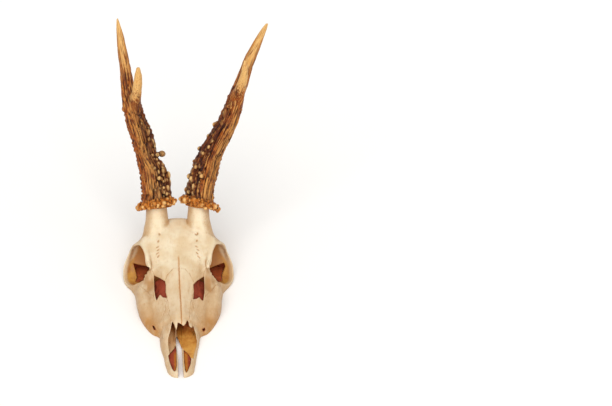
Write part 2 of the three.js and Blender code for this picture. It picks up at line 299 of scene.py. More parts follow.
@dataclass
class Clay:
    """A block of signed distances on an even grid, negative inside the clay.

    Attributes:
        low: lowest corner.
        high: highest corner.
        step: size of the grid.
    """

    low: Sequence[float]
    high: Sequence[float]
    step: float
    axes: tuple[Array, ...] = field(init=False)
    values: Array = field(init=False)

    def __post_init__(self) -> None:
        """Lays out the grid, with no clay in it yet."""
        self.axes = tuple(
            np.arange(a, b + self.step, self.step, np.float32) for a, b in zip(self.low, self.high)
        )
        self.values = np.full([len(axis) for axis in self.axes], BAND, np.float32)

    def spots(self, cut: Cut = EVERYWHERE) -> Spots:
        """Places of the grid along each axis, shaped so that they fill a block together."""
        x, y, z = (axis[one] for axis, one in zip(self.axes, cut))
        return x[:, None, None], y[None, :, None], z[None, None, :]

    def window(self, tool: Tool, margin: float) -> Cut:
        """The stretch of the grid that a tool reaches."""
        low, high = tool.span()
        return tuple(
            slice(int(np.searchsorted(axis, a - margin)), int(np.searchsorted(axis, b + margin)))
            for axis, a, b in zip(self.axes, low, high)
        )

    def add(self, *tools: Tool, blend: float = 1.0) -> None:
        """Adds clay in the shape of each tool, with a fillet."""
        for tool in tools:
            cut = self.window(tool, blend + BAND)
            if self.values[cut].size:
                self.values[cut] = soft_min(self.values[cut], tool.distance(*self.spots(cut)), blend)

    def carve(self, *tools: Tool, blend: float = 1.0) -> None:
        """Takes clay away in the shape of each tool, with a rounded edge."""
        for tool in tools:
            cut = self.window(tool, blend + BAND)
            if self.values[cut].size:
                self.values[cut] = soft_max(self.values[cut], -tool.distance(*self.spots(cut)), blend)

    def read(self, values: Array, points: Array) -> Array:
        """Reads values at points in the grid's own steps. They fill the block or spread over it."""
        values = np.broadcast_to(values, self.values.shape)
        low = np.clip(points.astype(int), 0, np.array(values.shape) - 2)
        t = np.clip(points - low, 0, 1)
        total = np.zeros(len(points), np.float32)
        for corner in range(8):
            step = np.array([corner >> 2 & 1, corner >> 1 & 1, corner & 1])
            share = np.prod(np.where(step, t, 1 - t), axis=1)
            i, j, k = (low + step).T
            total += share * values[i, j, k]
        return total

    def hollows(self, reach: float, values: Array | None = None) -> Array:
        """Share of clay around each spot: half on a flat surface, more in a hollow, less on an edge."""
        filled = np.clip(0.5 - (self.values if values is None else values) / (2 * self.step), 0, 1)
        return blurred(blurred(filled, round(reach / self.step)), round(reach / self.step))


def blurred(values: Array, reach: int) -> Array:
    """Mean of the values in a box of that many steps to each side."""
    for axis in range(3):
        count = values.shape[axis]
        total = np.cumsum(values, axis=axis, dtype=np.float32)
        total = np.concatenate([np.zeros_like(np.take(total, [0], axis)), total], axis)
        spots = np.arange(count)
        high = np.minimum(spots + reach + 1, count)
        low = np.maximum(spots - reach, 0)
        share = (high - low).astype(np.float32).reshape([-1 if k == axis else 1 for k in range(3)])
        values = (np.take(total, high, axis) - np.take(total, low, axis)) / share
    return values


def largest_body(count: int, faces: Array) -> Array:
    """Tells which points belong to the largest joined-up body of a mesh of quads."""
    label = np.arange(count)
    pairs = np.concatenate([faces[:, [0, 1]], faces[:, [1, 2]], faces[:, [2, 3]]])
    while True:
        low = np.minimum(label[pairs[:, 0]], label[pairs[:, 1]])
        fresh = label.copy()
        np.minimum.at(fresh, pairs[:, 0], low)
        np.minimum.at(fresh, pairs[:, 1], low)
        np.minimum.at(fresh, label[pairs[:, 0]], low)
        np.minimum.at(fresh, label[pairs[:, 1]], low)
        fresh = fresh[fresh]
        if (fresh == label).all():
            return label == np.bincount(label).argmax()
        label = fresh


def cast(name: str, clay: Clay, values: Array, place: Placer, readings: dict[str, Array]) -> Piece:
    """Casts a block of distances as a closed mesh.

    Args:
        name: name of the new piece.
        clay: the grid that the values lie on.
        values: signed distances.
        place: turns points of the grid in millimetres into the row frame in metres.
        readings: values to keep on the mesh as attributes, each on the same grid.

    Returns:
        The piece, at the origin.
    """
    solid = np.argwhere(values < clay.step)
    first = np.maximum(solid.min(0) - 2, 0)
    last = np.minimum(solid.max(0) + 3, values.shape)
    block = np.ascontiguousarray(values[tuple(slice(a, b) for a, b in zip(first, last))])
    block = np.clip(block, -BAND, BAND)
    for axis in range(3):  # closes the skin where the clay meets the side of the grid
        edge = [slice(None)] * 3
        for end in (0, -1):
            edge[axis] = end
            block[tuple(edge)] = np.maximum(block[tuple(edge)], clay.step / 2)
    grid = openvdb.FloatGrid(background=BAND)
    grid.copyFromArray(block)
    points, quads = grid.convertToQuads(isovalue=0.0)
    faces = quads.astype(np.int64)
    keep = largest_body(len(points), faces)
    faces = faces[keep[faces[:, 0]]]
    fresh = np.cumsum(keep) - 1
    points, faces = points[keep], fresh[faces]
    spots = points + first
    true_places = place(np.asarray(clay.low) + spots * clay.step)
    if signed_volume(true_places, faces) < 0:
        faces = faces[:, ::-1]
    mesh = bpy.data.meshes.new(name)
    mesh.vertices.add(len(true_places))
    mesh.vertices.foreach_set("co", true_places.astype(np.float32).ravel())
    mesh.loops.add(faces.size)
    mesh.loops.foreach_set("vertex_index", faces.astype(np.int32).ravel())
    mesh.polygons.add(len(faces))
    mesh.polygons.foreach_set("loop_start", np.arange(0, faces.size, faces.shape[1], dtype=np.int32))
    mesh.update(calc_edges=True)
    mesh.validate()
    for word, block_values in readings.items():
        mesh.attributes.new(word, "FLOAT", "POINT").data.foreach_set("value", clay.read(block_values, spots))
    piece = bpy.data.objects.new(name, mesh)
    bpy.context.scene.collection.objects.link(piece)
    mesh.shade_smooth()
    log.info("%s: %d faces", name, len(faces))
    return piece


def signed_volume(points: Array, faces: Array) -> float:
    """Volume of a closed mesh, negative where its faces point inwards."""
    a, b, c, d = (points[faces[:, k]] for k in range(4))
    return float((a * (np.cross(b, c) + np.cross(c, d))).sum() / 6)


# --------------------------------------------------------------------------------------- skull

# Openings that differ from side to side, as seen square to the face plane: across and up.
PALATE_SLITS = {
    Side.RIGHT: (
        (-9.9, 18.1), (-7.1, 21.1), (-4.6, 23.8), (-3.8, 26.6), (-3.2, 22), (-3.2, 10), (-3.9, 6.4),
        (-5.3, 5.2), (-6.9, 7.4), (-8.8, 12.5),
    ),
    Side.LEFT: (
        (2.6, 22.6), (5.2, 20.1), (7.6, 17.4), (8.7, 15.0), (8.0, 11), (6.2, 6.8), (4.7, 4.1),
        (3.6, 5.8), (3.0, 12),
    ),
}
FACE_WINDOWS = {
    Side.RIGHT: (
        (-20.1, 83.1), (-15.5, 80.8), (-11.4, 78.3), (-10.9, 75.2), (-11.1, 69.5), (-10.1, 64.9),
        (-13.2, 65.2), (-15.7, 67.7), (-17.2, 65.3), (-18.5, 62.9), (-19.5, 66.2), (-20.1, 71.1),
    ),
    Side.LEFT: (
        (20.6, 81.7), (17.3, 79.8), (14.8, 78.3), (11.7, 75.2), (12.1, 70.0), (11.4, 63.4),
        (14.3, 63.8), (16.4, 65.1), (18.2, 62.6), (19.5, 62.2), (20.7, 69.0),
    ),
}
SOCKET_HOLES = {
    Side.RIGHT: (
        (-36.7, 93.1), (-31.3, 91.7), (-23.9, 90.0), (-24.0, 87.7), (-25.1, 86.6), (-26.2, 86.4),
        (-25.7, 84.7), (-27.0, 84.1), (-28.5, 83.8), (-27.5, 81.8), (-28.9, 80.8), (-28.5, 79.3),
        (-30.5, 78.7), (-32.5, 77.7), (-35.4, 78.0), (-33.9, 81.4), (-35.1, 86.5),
    ),
    Side.LEFT: (
        (25.4, 87.9), (27.9, 89.0), (31.2, 90.3), (37.6, 92.5), (38.6, 89.6), (36.6, 85.1),
        (35.5, 81.5), (35.9, 77.5), (32.4, 77.0), (30.8, 78.5), (31.2, 80.1), (29.2, 80.5),
        (28.7, 82.4), (27.0, 82.6), (27.7, 84.6), (26.2, 85.2),
    ),
}
SOCKET_VIEWS = {
    Side.RIGHT: (
        (-30.7, 109.3), (-27.0, 101.0), (-24.9, 92.6), (-23.8, 88.0), (-24.6, 86.6), (-26.7, 85.1),
        (-28.4, 82.4), (-28.7, 79.7), (-31.7, 77.5), (-36.3, 76.4), (-40.9, 78.0), (-42.1, 81.6),
        (-41.7, 87.5), (-40.2, 94.1), (-38.8, 99.9), (-37.1, 104.8), (-33.9, 108.1),
    ),
    Side.LEFT: (
        (30.8, 108.9), (27.5, 100.7), (25.9, 93.3), (25.4, 87.9), (26.4, 85.2), (29.3, 80.9),
        (32.4, 77.0), (36.1, 76.5), (41.0, 77.5), (43.5, 81.4), (43.0, 85.1), (42.1, 90.4),
        (40.6, 95.8), (38.6, 102.9), (35.3, 107.3),
    ),
}
CHEEK_HOLES = {
    Side.RIGHT: ((-22.3, 42.5), (-20.8, 41.8), (-19.5, 39.0), (-21.1, 39.0)),
    Side.LEFT: ((18.2, 38.7), (20.0, 40.1), (20.8, 38.7), (19.4, 36.8)),
}

# How far forward each opening starts and ends, square to the face plane.
SLIT_DEPTH = (-40, 20)
FACE_WINDOW_DEPTH = (-70, -30)
SOCKET_HOLE_DEPTH = (-118, 10)
SOCKET_LINING_DEPTH = (-125, -94)
SOCKET_VIEW_DEPTH = (-135, 10)
CHEEK_HOLE_DEPTH = (-56, 10)
NOSTRIL_DEPTH = (-51, 30)
NOSE_GAP_DEPTH = (-60, 30)


@dataclass
class Skull:
    """The skull cap: eight face bones, the forehead with its two stumps, and the brain case.

    Attributes:
        shell: distance back, half width on the saw cut, height and fullness of the outer section.
        step: grid of the clay.
        seam: width of the sutures between the bones.
        flare: how far each bone is cast past its sutures, for the corners that casting rounds off.
        wall: thickness of the muzzle.
        palate: floor of the nose.
        cavity_rear, coronal, rear: how far back the nose, the forehead and the skull end.
        nose_split: the nasal bones are above this height, the palate is below it.
        orbit_roof: the forehead roofs the orbits from this far back and this high.
        stump: out, up, forward and radius of the stumps, in the antlers' own frame.
    """

    shell: Rows = (
        (-3, 3.0, 3.6, 2.2), (0, 5.6, 4.6, 2.2), (4, 9.3, 5.2, 2.4), (13, 11.9, 6.0, 2.4),
        (27, 13.8, 7.0, 2.2), (35, 14.8, 9.5, 2.0), (42, 15.6, 14.5, 1.9), (49, 16.2, 20.0, 1.8),
        (53.5, 17.2, 22.0, 1.7),
        (56.5, 21.4, 22.8, 1.6), (61, 24.9, 23.6, 1.5), (69, 28.9, 25.2, 1.55), (81, 32.9, 27.8, 1.7),
        (92, 34.5, 30.8, 1.8), (103, 35.2, 33.6, 1.95), (112, 36.8, 35.2, 2.15), (119, 41.0, 36.6, 2.5),
        (127, 44.4, 38.4, 2.8), (134, 44.9, 40.2, 2.9), (140, 43.9, 41.6, 2.8), (146, 39.4, 42.6, 2.5),
        (151, 31.0, 43.6, 2.4), (157, 26.8, 43.8, 2.4), (161.5, 27.2, 41.2, 2.35), (168, 28.8, 33.6, 2.2),
        (177, 30.0, 25.6, 2.2), (186, 29.0, 18.2, 2.2), (193, 26.5, 12.6, 2.3), (199, 23.0, 8.0, 2.4),
        (204, 17.0, 2.4, 2.4),
    )
    step: float = 0.5
    seam: float = 0.06
    flare: float = 0.22
    wall: float = 1.7
    palate: float = 3.0
    cavity_rear: float = 106.0
    coronal: float = 157.0
    nose_split: float = 10.0
    rear: float = 204.0
    orbit_roof: tuple[float, float] = (113.0, 17.0)

    stump: Rows = (
        (17, -30, -9, 11), (17, -20, -4, 11), (17, -11.5, -0.8, 9.3), (17.2, -3.4, 0, 8.6), (17.2, 1, 0, 8.4),
    )
    socket: Blob = Blob((40, 126.5, 19.5), (16, 16.2, 16.8))
    orbit: Blob = Blob((36, 125, 19.5), (19.5, 20, 18))
    temple: Blob = Blob((46, 162, 14), (13.5, 15, 24))

    nasal: Outline = (
        (-9, 30), (9.2, 36), (6.9, 42.2), (7.3, 49), (8.6, 60), (9.7, 72), (11.4, 82), (13.2, 91), (9.2, 98),
        (5, 102.4), (0, 103.5), (-9, 103.5),
    )
    nostril: Outline = (
        (-6.2, 45.8), (-4.9, 43.5), (-3.9, 40.5), (-2.9, 38.6), (-2.1, 41.5), (-1.6, 44.9), (0.5, 43.7),
        (3.1, 41.8), (4.9, 43.7), (6.1, 46.8), (7.0, 44.8), (7.6, 41.8), (9.0, 40.5), (10.3, 40.4),
        (10.6, 42.9), (11.7, 38.6), (12.7, 35.5), (13.6, 30.0), (13.3, 23.4), (12.2, 18.5), (10.7, 15.5),
        (7.9, 16.2), (5.0, 18.5), (3.4, 21.3), (1.3, 25.9), (-0.3, 29.6), (-1.2, 31.6), (-2.5, 31.6),
        (-2.6, 22.1), (-5.3, 20.3), (-8.1, 18.0), (-9.0, 21.8), (-9.7, 27.5), (-9.5, 32.1), (-8.1, 37.0),
        (-7.0, 41.7),
    )
    nose_gap: Outline = (
        (-3.4, 33.2), (-2.2, 32.8), (-1.0, 29.6), (0.2, 26.4), (1.4, 22.8), (1.7, 14), (1.7, 8), (2.2, 3.7),
        (2.6, -6), (-2.6, -6), (-2.2, 3.7), (-2.0, 14), (-2.8, 22), (-3.3, 28),
    )
    # Small vessel holes of the forehead: x, y and slant.
    marks: Rows = (
        (-15.2, 140.2, -0.2), (16.0, 140.0, 0.15), (14.6, 139.4, -0.3), (-16.8, 127.6, 0.9),
        (-16.6, 124.6, 0.8), (-17.2, 121.6, 0.9), (-16.6, 118.6, 0.5), (15.0, 127.2, -0.8),
        (16.2, 124, -0.9), (15.6, 120.6, -0.6), (16.8, 117.4, -0.7), (15.4, 133, 0.3), (-16.2, 133, 0.2),
    )
    premaxilla_up: Outline = ((-1, -8), (24, -8), (24, 48), (17, 58), (13, 62.5), (10.2, 75), (-1, 75))
    premaxilla_down: Outline = ((-1, -8), (24, -8), (24, 52), (15, 50), (11.5, 74), (-1, 74))
    lacrimal: Outline = (
        (18.3, 77.5), (25, 90), (31, 101), (50, 106), (50, 156), (37, 156), (24, 156), (24, 124),
        (24.3, 112), (20.4, 104.4), (19.4, 92),
    )
    frontal: Outline = (
        (-1, 98), (9.2, 96), (13.6, 88), (20.6, 88), (20.6, 104.3), (50, 104.3), (50, 157), (-1, 157),
    )

    clay: Clay = field(init=False)
    hull: Array = field(init=False)
    stumps: Array = field(init=False)
    space: Array = field(init=False)
    scrolls: Array = field(init=False)
    pockets: Array = field(init=False)
    bowls: Array = field(init=False)
    soil: Array = field(init=False)

    def model(self) -> None:
        """Builds the whole skull in clay, before it is parted into its bones."""
        self.clay = Clay((-48, -2, -1), (48, 207, 62), self.step)
        self.hull = self.outer_form()
        self.clay.values = self.hull.copy()
        self.stumps = np.full_like(self.hull, BAND)
        self.raise_stumps()
        self.shape_face()
        self.hull = self.clay.values.copy()
        self.pockets = np.full_like(self.hull, BAND)
        self.bowls = np.full_like(self.hull, BAND)
        self.hollow_nose()
        for side in Side:
            self.open_socket(side)
            self.open_face(side)
            self.pierce(side)
        self.set_marks()
        self.clay.carve(Window(self.nose_gap, NOSE_GAP_DEPTH), blend=0.3)
        self.clay.values = np.maximum(self.clay.values, -self.clay.spots()[2])
        log.info("clay of the skull: %s steps", self.clay.values.shape)

    def outer_form(self) -> Array:
        """Signed distance from the smooth outer form."""
        x, y, z = self.clay.spots()
        width, height, fullness = curve(self.shell, y.ravel()).astype(np.float32).T
        width, height, fullness = (one[None, :, None] for one in (width, height, fullness))
        across = (np.abs(x) / np.maximum(width, 0.5)) ** fullness
        tall = (np.maximum(z, 0) / np.maximum(height, 0.5)) ** fullness
        k = np.maximum(across + tall, 1e-4) ** (1 / fullness)
        slope = np.gradient(k, self.step)
        steep = np.sqrt(sum(one * one for one in slope))
        form = ((k - 1) / np.maximum(steep, 0.01)).astype(np.float32)
        form = soft_max(form, np.broadcast_to(-y, form.shape), 3.0)
        form = soft_max(form, np.broadcast_to(y - self.rear, form.shape), 2.0)
        swell = waves(self.clay.axes, (17, 21, 17), 5) * 0.45 + waves(self.clay.axes, (7, 9, 7), 6) * 0.12
        streaks = waves(self.clay.axes, (3.2, 17, 6), 8) * 0.24 * (ease(116, 100, y) + 0.25)
        return np.clip(form + swell + streaks, -FAR, FAR)

    def raise_stumps(self) -> None:
        """The two bony stumps that carry the antlers."""
        for side in Side:
            rod = Rod([(*face_point(side.value * out, *on), radius) for out, *on, radius in self.stump])
            cut = self.clay.window(rod, 14)
            x, y, z = self.clay.spots(cut)
            form = rod.distance(x, y, z)
            top = (y - BURR_CENTRE[0]) * UP[1] + (z - BURR_CENTRE[1]) * UP[2] + 0.6
            form = np.maximum(form, top)
            fillet = 2.4 + 5.0 * ease(12, 24, np.abs(x))
            self.clay.values[cut] = soft_min(self.clay.values[cut], form, fillet)
            self.stumps[cut] = np.minimum(self.stumps[cut], form)

    def shape_face(self) -> None:
        """Hollows, ridges and swellings of the outer surface."""
        add, carve = self.clay.add, self.clay.carve
        for side in Side:
            s = side.value
            for tool, shape, blend in (
                (carve, Blob((s * 25, 92, 31), (5.5, 10, 7), 0.3), 8),
                (carve, Blob((s * 21, 71, 31), (7, 14, 7), 0.25), 8),
                (carve, Blob((s * 32, 68, 19), (6, 8, 7)), 6),
                (carve, Rod([(s * 14.5, 80, 30.5, 1.6), (s * 11, 60, 26, 1.6), (s * 9.6, 48, 21, 1.4)]), 3.5),
                (carve, Blob((s * 24.5, 97, 24), (3.2, 6, 3.4), 0.5), 3),
                (add, Rod([(s * 30, 100, 12, 4), (s * 29, 86, 9, 4.4), (s * 25, 74, 6, 3.6)]), 6),
                (carve, Blob((s * 17, 129, 43.4), (2.2, 13, 2.6), 0.12), 3),
                (add, Rod([(s * 28.5, 137, 35, 1.6), (s * 26, 122, 33.8, 1.8), (s * 24, 108, 31.6, 1.6)]), 5),
                (add, Rod([(s * 22, 162, 28, 1.4), (s * 20.5, 176, 20, 1.2), (s * 17, 188, 12, 1)]), 4),
                (carve, self.temple.on(side), 3),
            ):
                tool(shape, blend=blend)
        carve(Blob((-46.5, 115.5, -2), (7.5, 5.5, 9)), blend=2)
        nape = [(-12, 191, 9, 2.4), (0, 192, 10, 2.6), (12, 191, 9, 2.4)]
        add(Rod([(-24, 187, 5, 2.4), *nape, (24, 187, 5, 2.4)]), blend=6)

    def hollow_nose(self) -> None:
        """The space inside the nose, with its partition, and its opening at the front."""
        clay = self.clay
        _, y, z = clay.spots()
        space = np.maximum(clay.values + self.wall, self.palate - z)
        space = soft_max(space, np.broadcast_to(y - self.cavity_rear, space.shape), 6)
        space = soft_max(space, np.broadcast_to(13 - y, space.shape), 4)
        self.space = space
        clay.values = soft_max(clay.values, -space, 0.6)
        clay.add(Rod([(-1, 62, 3, 0.8), (0, 100, 8, 0.8)]), blend=0.8)
        self.scrolls = np.full_like(clay.values, BAND)
        for side in Side:
            for points in (
                ((9.5, 33, 2, 2.4), (8.6, 45, 6.5, 4.4), (8, 58, 9.5, 5.6), (8.5, 80, 11, 5)),
                ((5, 54, 14, 1.6), (5.4, 66, 16, 2.4), (6, 84, 17, 2.4)),
                ((3.4, 49, 4.5, 1.6), (3.6, 56, 7, 3.2), (4, 80, 9, 4)),
                ((9, 79, 5, 4), (9, 98, 5, 4)),
            ):
                rod = Rod([(side.value * x, *rest) for x, *rest in points])
                cut = clay.window(rod, BAND)
                self.scrolls[cut] = soft_min(self.scrolls[cut], rod.distance(*clay.spots(cut)), 1.5)
        clay.values = soft_min(clay.values, self.scrolls, 2.5)
        clay.carve(Window(self.nostril, NOSTRIL_DEPTH, self.palate), blend=0.5)
        clay.add(Rod([(-7.4, 41, 0, 3.0), (-7.0, 64, 5.0, 3.6)]), blend=1.5)
        clay.add(Rod([(7.5, 49, -0.8, 3.6), (7.5, 70, 4.0, 4.6)]), blend=3)
        clay.add(Blob((-3.3, 53, 4), (0.65, 12, 6)), blend=0.6)

    def open_socket(self, side: Side) -> None:
        """Eye socket with its raised rim, and the dark opening in its floor."""
        clay = self.clay
        socket, wide = self.socket.on(side), self.orbit.on(side)
        view = Window(SOCKET_VIEWS[side], SOCKET_VIEW_DEPTH)
        cut = clay.window(wide, 6)
        spots = clay.spots(cut)
        bowl = soft_max(view.distance(*spots), wide.distance(*spots), 3)
        bowl = soft_min(socket.distance(*spots), bowl, 2)
        x, y, z = spots
        up = y * UP[1] + z * UP[2]
        height = 1.2 * ease(86, 92, up + 3.0 * (np.abs(x) - 36).clip(0))
        rim = np.hypot(clay.values[cut] + 1.1, bowl - 0.7) - height
        clay.values[cut] = soft_max(soft_min(clay.values[cut], rim, 2.0), -bowl, 0.8)
        self.bowls[cut] = np.minimum(self.bowls[cut], bowl)
        hole = Window(SOCKET_HOLES[side], SOCKET_HOLE_DEPTH)
        cut = clay.window(hole, BAND)
        x, y, z = clay.spots(cut)
        wall = np.where(y > 128, self.hull[cut] + 2.2, -BAND)
        away = np.maximum(hole.distance(x, y, z), wall)
        clay.values[cut] = soft_max(clay.values[cut], -away, 0.5)
        bottom = np.maximum(np.maximum(hole.distance(x, y, z) - 1, wall - 1), z - 6 - 0.35 * (y - 128))
        self.pockets[cut] = np.minimum(self.pockets[cut], np.maximum(bottom, 1.2 - self.bowls[cut]))

    def open_face(self, side: Side) -> None:
        """The window in the face beside the nasal bone, and the slit in the palate."""
        self.clay.carve(Window(FACE_WINDOWS[side], FACE_WINDOW_DEPTH), blend=0.5)
        self.clay.carve(Window(PALATE_SLITS[side], SLIT_DEPTH), blend=0.4)

    def pierce(self, side: Side) -> None:
        """Small holes where vessels and nerves leave the bone."""
        s = side.value
        cheek_hole = Window(CHEEK_HOLES[side], CHEEK_HOLE_DEPTH)
        cut = self.clay.window(cheek_hole, BAND)
        away = cheek_hole.distance(*self.clay.spots(cut))
        dent = np.maximum(away, -2.6 - self.hull[cut])
        self.clay.values[cut] = soft_max(self.clay.values[cut], -dent, 0.6)
        self.pockets[cut] = np.minimum(self.pockets[cut], np.maximum(away, self.hull[cut] + 0.9))
        self.clay.carve(Blob((s * 33, 141.5, 27), (0.8, 2, 0.8)), blend=0.5)

    def set_marks(self) -> None:
        """The small vessel holes of the forehead, with a soiled edge."""
        x, y, _ = self.clay.spots()
        self.soil = np.zeros_like(self.hull)
        for at_x, at_y, slant in self.marks:
            turned_x = (x - at_x) * math.cos(slant) - (y - at_y) * math.sin(slant)
            turned_y = (x - at_x) * math.sin(slant) + (y - at_y) * math.cos(slant)
            away = np.hypot(turned_x * 2.6, turned_y)
            pit = np.maximum((away - 1.2) * 0.45, -0.9 - self.hull)
            self.clay.values = soft_max(self.clay.values, -pit, 0.3)
            self.soil = np.maximum(self.soil, ease(2.4, 0.8, away) * ease(2.5, 1.0, np.abs(self.hull)))

    def stained(self) -> Array:
        """Where dried tissue has stained the bone: at the back of the nose and in the socket floors."""
        y = self.clay.spots()[1]
        return np.maximum(ease(0.9, -0.9, self.space) * ease(50, 68, y), ease(1.0, 0.2, self.pockets))

    def pale_plate_and_painted_light(self) -> Array:
        """The thin plate in the nose, as pale as the outside, and the floor to its right, painted pale as
        painted light where light falls into the nose.
        """
        x, y, z = self.clay.spots()
        plate = ease(1.3, 0.8, np.abs(x + 3.3)) * ease(68, 64, y)
        forward = 0.55 + 0.45 * ease(46, 36, y + 2.2 * (z - self.palate))
        # Painted light: the floor to the right of the plate, paler towards the front
        floor = ease(-3.6, -5.2, x) * ease(-12, -10, x) * forward * ease(66, 54, y)
        return np.maximum(plate, 0.85 * floor)

    def cheek_ends(self) -> Array:
        """The lower front ends of the cheeks, near the saw cut, in orange as painted shade."""
        _, y, z = self.clay.spots()
        return ease(52, 56, y) * ease(92, 66, y) * ease(17, 5, z)

    def patches(self) -> Array:
        """Tan patches in front of the sockets, over the shallow pits there: painted shade in the pits."""
        x, y, z = self.clay.spots()
        up = y * UP[1] + z * UP[2]
        uneven = waves(self.clay.axes, (3, 5, 4), 61) * 0.35
        away = np.hypot((np.abs(x) - 24.6) / 4.4, (up - 75.5) / 11) + uneven
        return ease(1.15, 0.35, away) * ease(2.5, 1.0, np.abs(self.hull))

    # ---- bones

    def plan(self, outline: Outline, seed: int) -> Array:
        """Distance from an outline drawn from above for both sides, with the wander of a suture."""
        axes = self.clay.axes[:2]
        x, y = np.abs(axes[0])[:, None], axes[1][None, :]
        x = x + waves(axes, (2.2, 3.1), seed) * 0.55 + waves(axes, (0.9, 1.2), seed + 1) * 0.22
        y = y + waves(axes, (3.1, 2.2), seed + 2) * 0.55 + waves(axes, (1.2, 0.9), seed + 3) * 0.22
        return outline_distance(outline, x, y)[:, :, None]

    def midline(self) -> Array:
        """Where the midline suture runs: how far left of it each place is."""
        x, y = self.clay.axes[0][:, None], self.clay.axes[1][None, :]
        bend = curve(((-5, 0.0), (40, 1.5), (58, 1.3), (85, 0.5), (110, 0.15), (210, 0.0)), y.ravel())[:, 0]
        wander = waves(self.clay.axes[1:2], (1.6,), 41) * 0.12
        return (x - bend[None, :] - wander[None, :])[:, :, None].astype(np.float32)

    def rooms(self) -> list[tuple[str, Array]]:
        """Names of the bones and the room that each takes, the first in the list coming first."""
        x, y, z = self.clay.spots()
        nasal = np.maximum(self.plan(self.nasal, 11), self.nose_split - z)
        front = np.minimum(
            np.maximum(self.plan(self.premaxilla_up, 15), self.nose_split - 5 - z),
            np.maximum(self.plan(self.premaxilla_down, 19), z - self.nose_split),
        )
        scrolls = np.minimum(1.2 - self.scrolls, z - self.palate - 0.2)
        nasal, front = np.maximum(nasal, scrolls), np.maximum(front, scrolls)
        orbit = np.maximum(
            self.plan(self.lacrimal, 23), -np.maximum(self.orbit_roof[0] - y, self.orbit_roof[1] - z)
        )
        roof = np.minimum(
            np.maximum(self.plan(self.frontal, 27), self.nose_split - z),
            np.maximum(self.cavity_rear - y, y - self.coronal),
        )
        wander = (waves(self.clay.axes[:1], (2.4,), 51) * 0.9)[:, None, None]
        roof = np.maximum(roof, y - self.coronal - wander)
        roof = np.minimum(roof, self.stumps - 2.0)
        middle = self.midline()
        rooms: list[tuple[str, Array]] = []
        for title, room in (("nasal", nasal), ("premaxilla", front), ("orbit", orbit)):
            for side in Side:
                rooms.append((f"{title}_{side.word}", np.maximum(room, -side.value * middle)))
        rooms.append(("forehead", roof))
        rooms.append(("braincase", np.broadcast_to(self.coronal + wander - y, self.clay.values.shape)))
        for side in Side:
            room = np.broadcast_to(np.maximum(-side.value * middle, y - 120), self.clay.values.shape)
            rooms.append((f"maxilla_{side.word}", room))
        return rooms

    def build(self, place: Placer, material: Material) -> list[Piece]:
        """Models the skull, parts it into its bones and casts them."""
        self.model()
        whole, pale = self.clay.values, self.pale_plate_and_painted_light()
        x, y, _ = self.clay.spots()
        readings = {
            "hollow": self.clay.hollows(2.0, self.hull),
            "edge": self.clay.hollows(0.75, self.hull),
            # Deep inside the outer form, where the sockets get painted shade and painted light
            "inside": ease(1.8, 3.8, -self.hull) * (1 - pale),
            # Inside the nose: painted warm shade, except on the pale plate and the painted light of the floor
            "nose": ease(1.1, 0.5, self.space) * (1 - pale),
            "patch": self.patches(),
            "cheek": self.cheek_ends(),
            # Painted shade: darker towards the nose, where the light falls off
            "front": ease(112, 84, y),
            # Outer sides, where the sockets get painted light in gold
            "lit_flank": ease(30, 40, np.abs(x)),
            "stain": self.stained(),
            "soil": self.soil,
        }
        taken = np.full_like(whole, -BAND * 3)
        flare = self.flare * ease(0.7, 0.0, np.abs(whole))
        seams = np.full_like(whole, BAND)
        parted = []
        for name, room in self.rooms():
            own = np.maximum(room, taken)
            parted.append((name, np.maximum(whole, own - flare)))
            taken = np.maximum(taken, self.seam - room)
            seams = np.minimum(seams, np.abs(own))
        middle = ease(0.8, 0.2, np.abs(self.midline())) * ease(118, 114, y)
        middle = middle * ease(0.9, 0.3, np.abs(self.hull))
        readings["suture"] = np.maximum(ease(1.3, 0.2, seams) * 0.1, middle)
        pieces = []
        for name, values in parted:
            piece = cast(f"{name}_bone", self.clay, values, place, readings)
            piece.data.materials.append(material)
            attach(piece, "root")
            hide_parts(name)
            pieces.append(piece)
        return pieces


def face_point(out: float, up: float, forward: float) -> tuple[float, float, float]:
    """Turns a place in the antlers' own frame into the skull's frame."""
    return (
        out,
        BURR_CENTRE[0] + up * UP[1] + forward * FORWARD[1],
        BURR_CENTRE[1] + up * UP[2] + forward * FORWARD[2],
    )


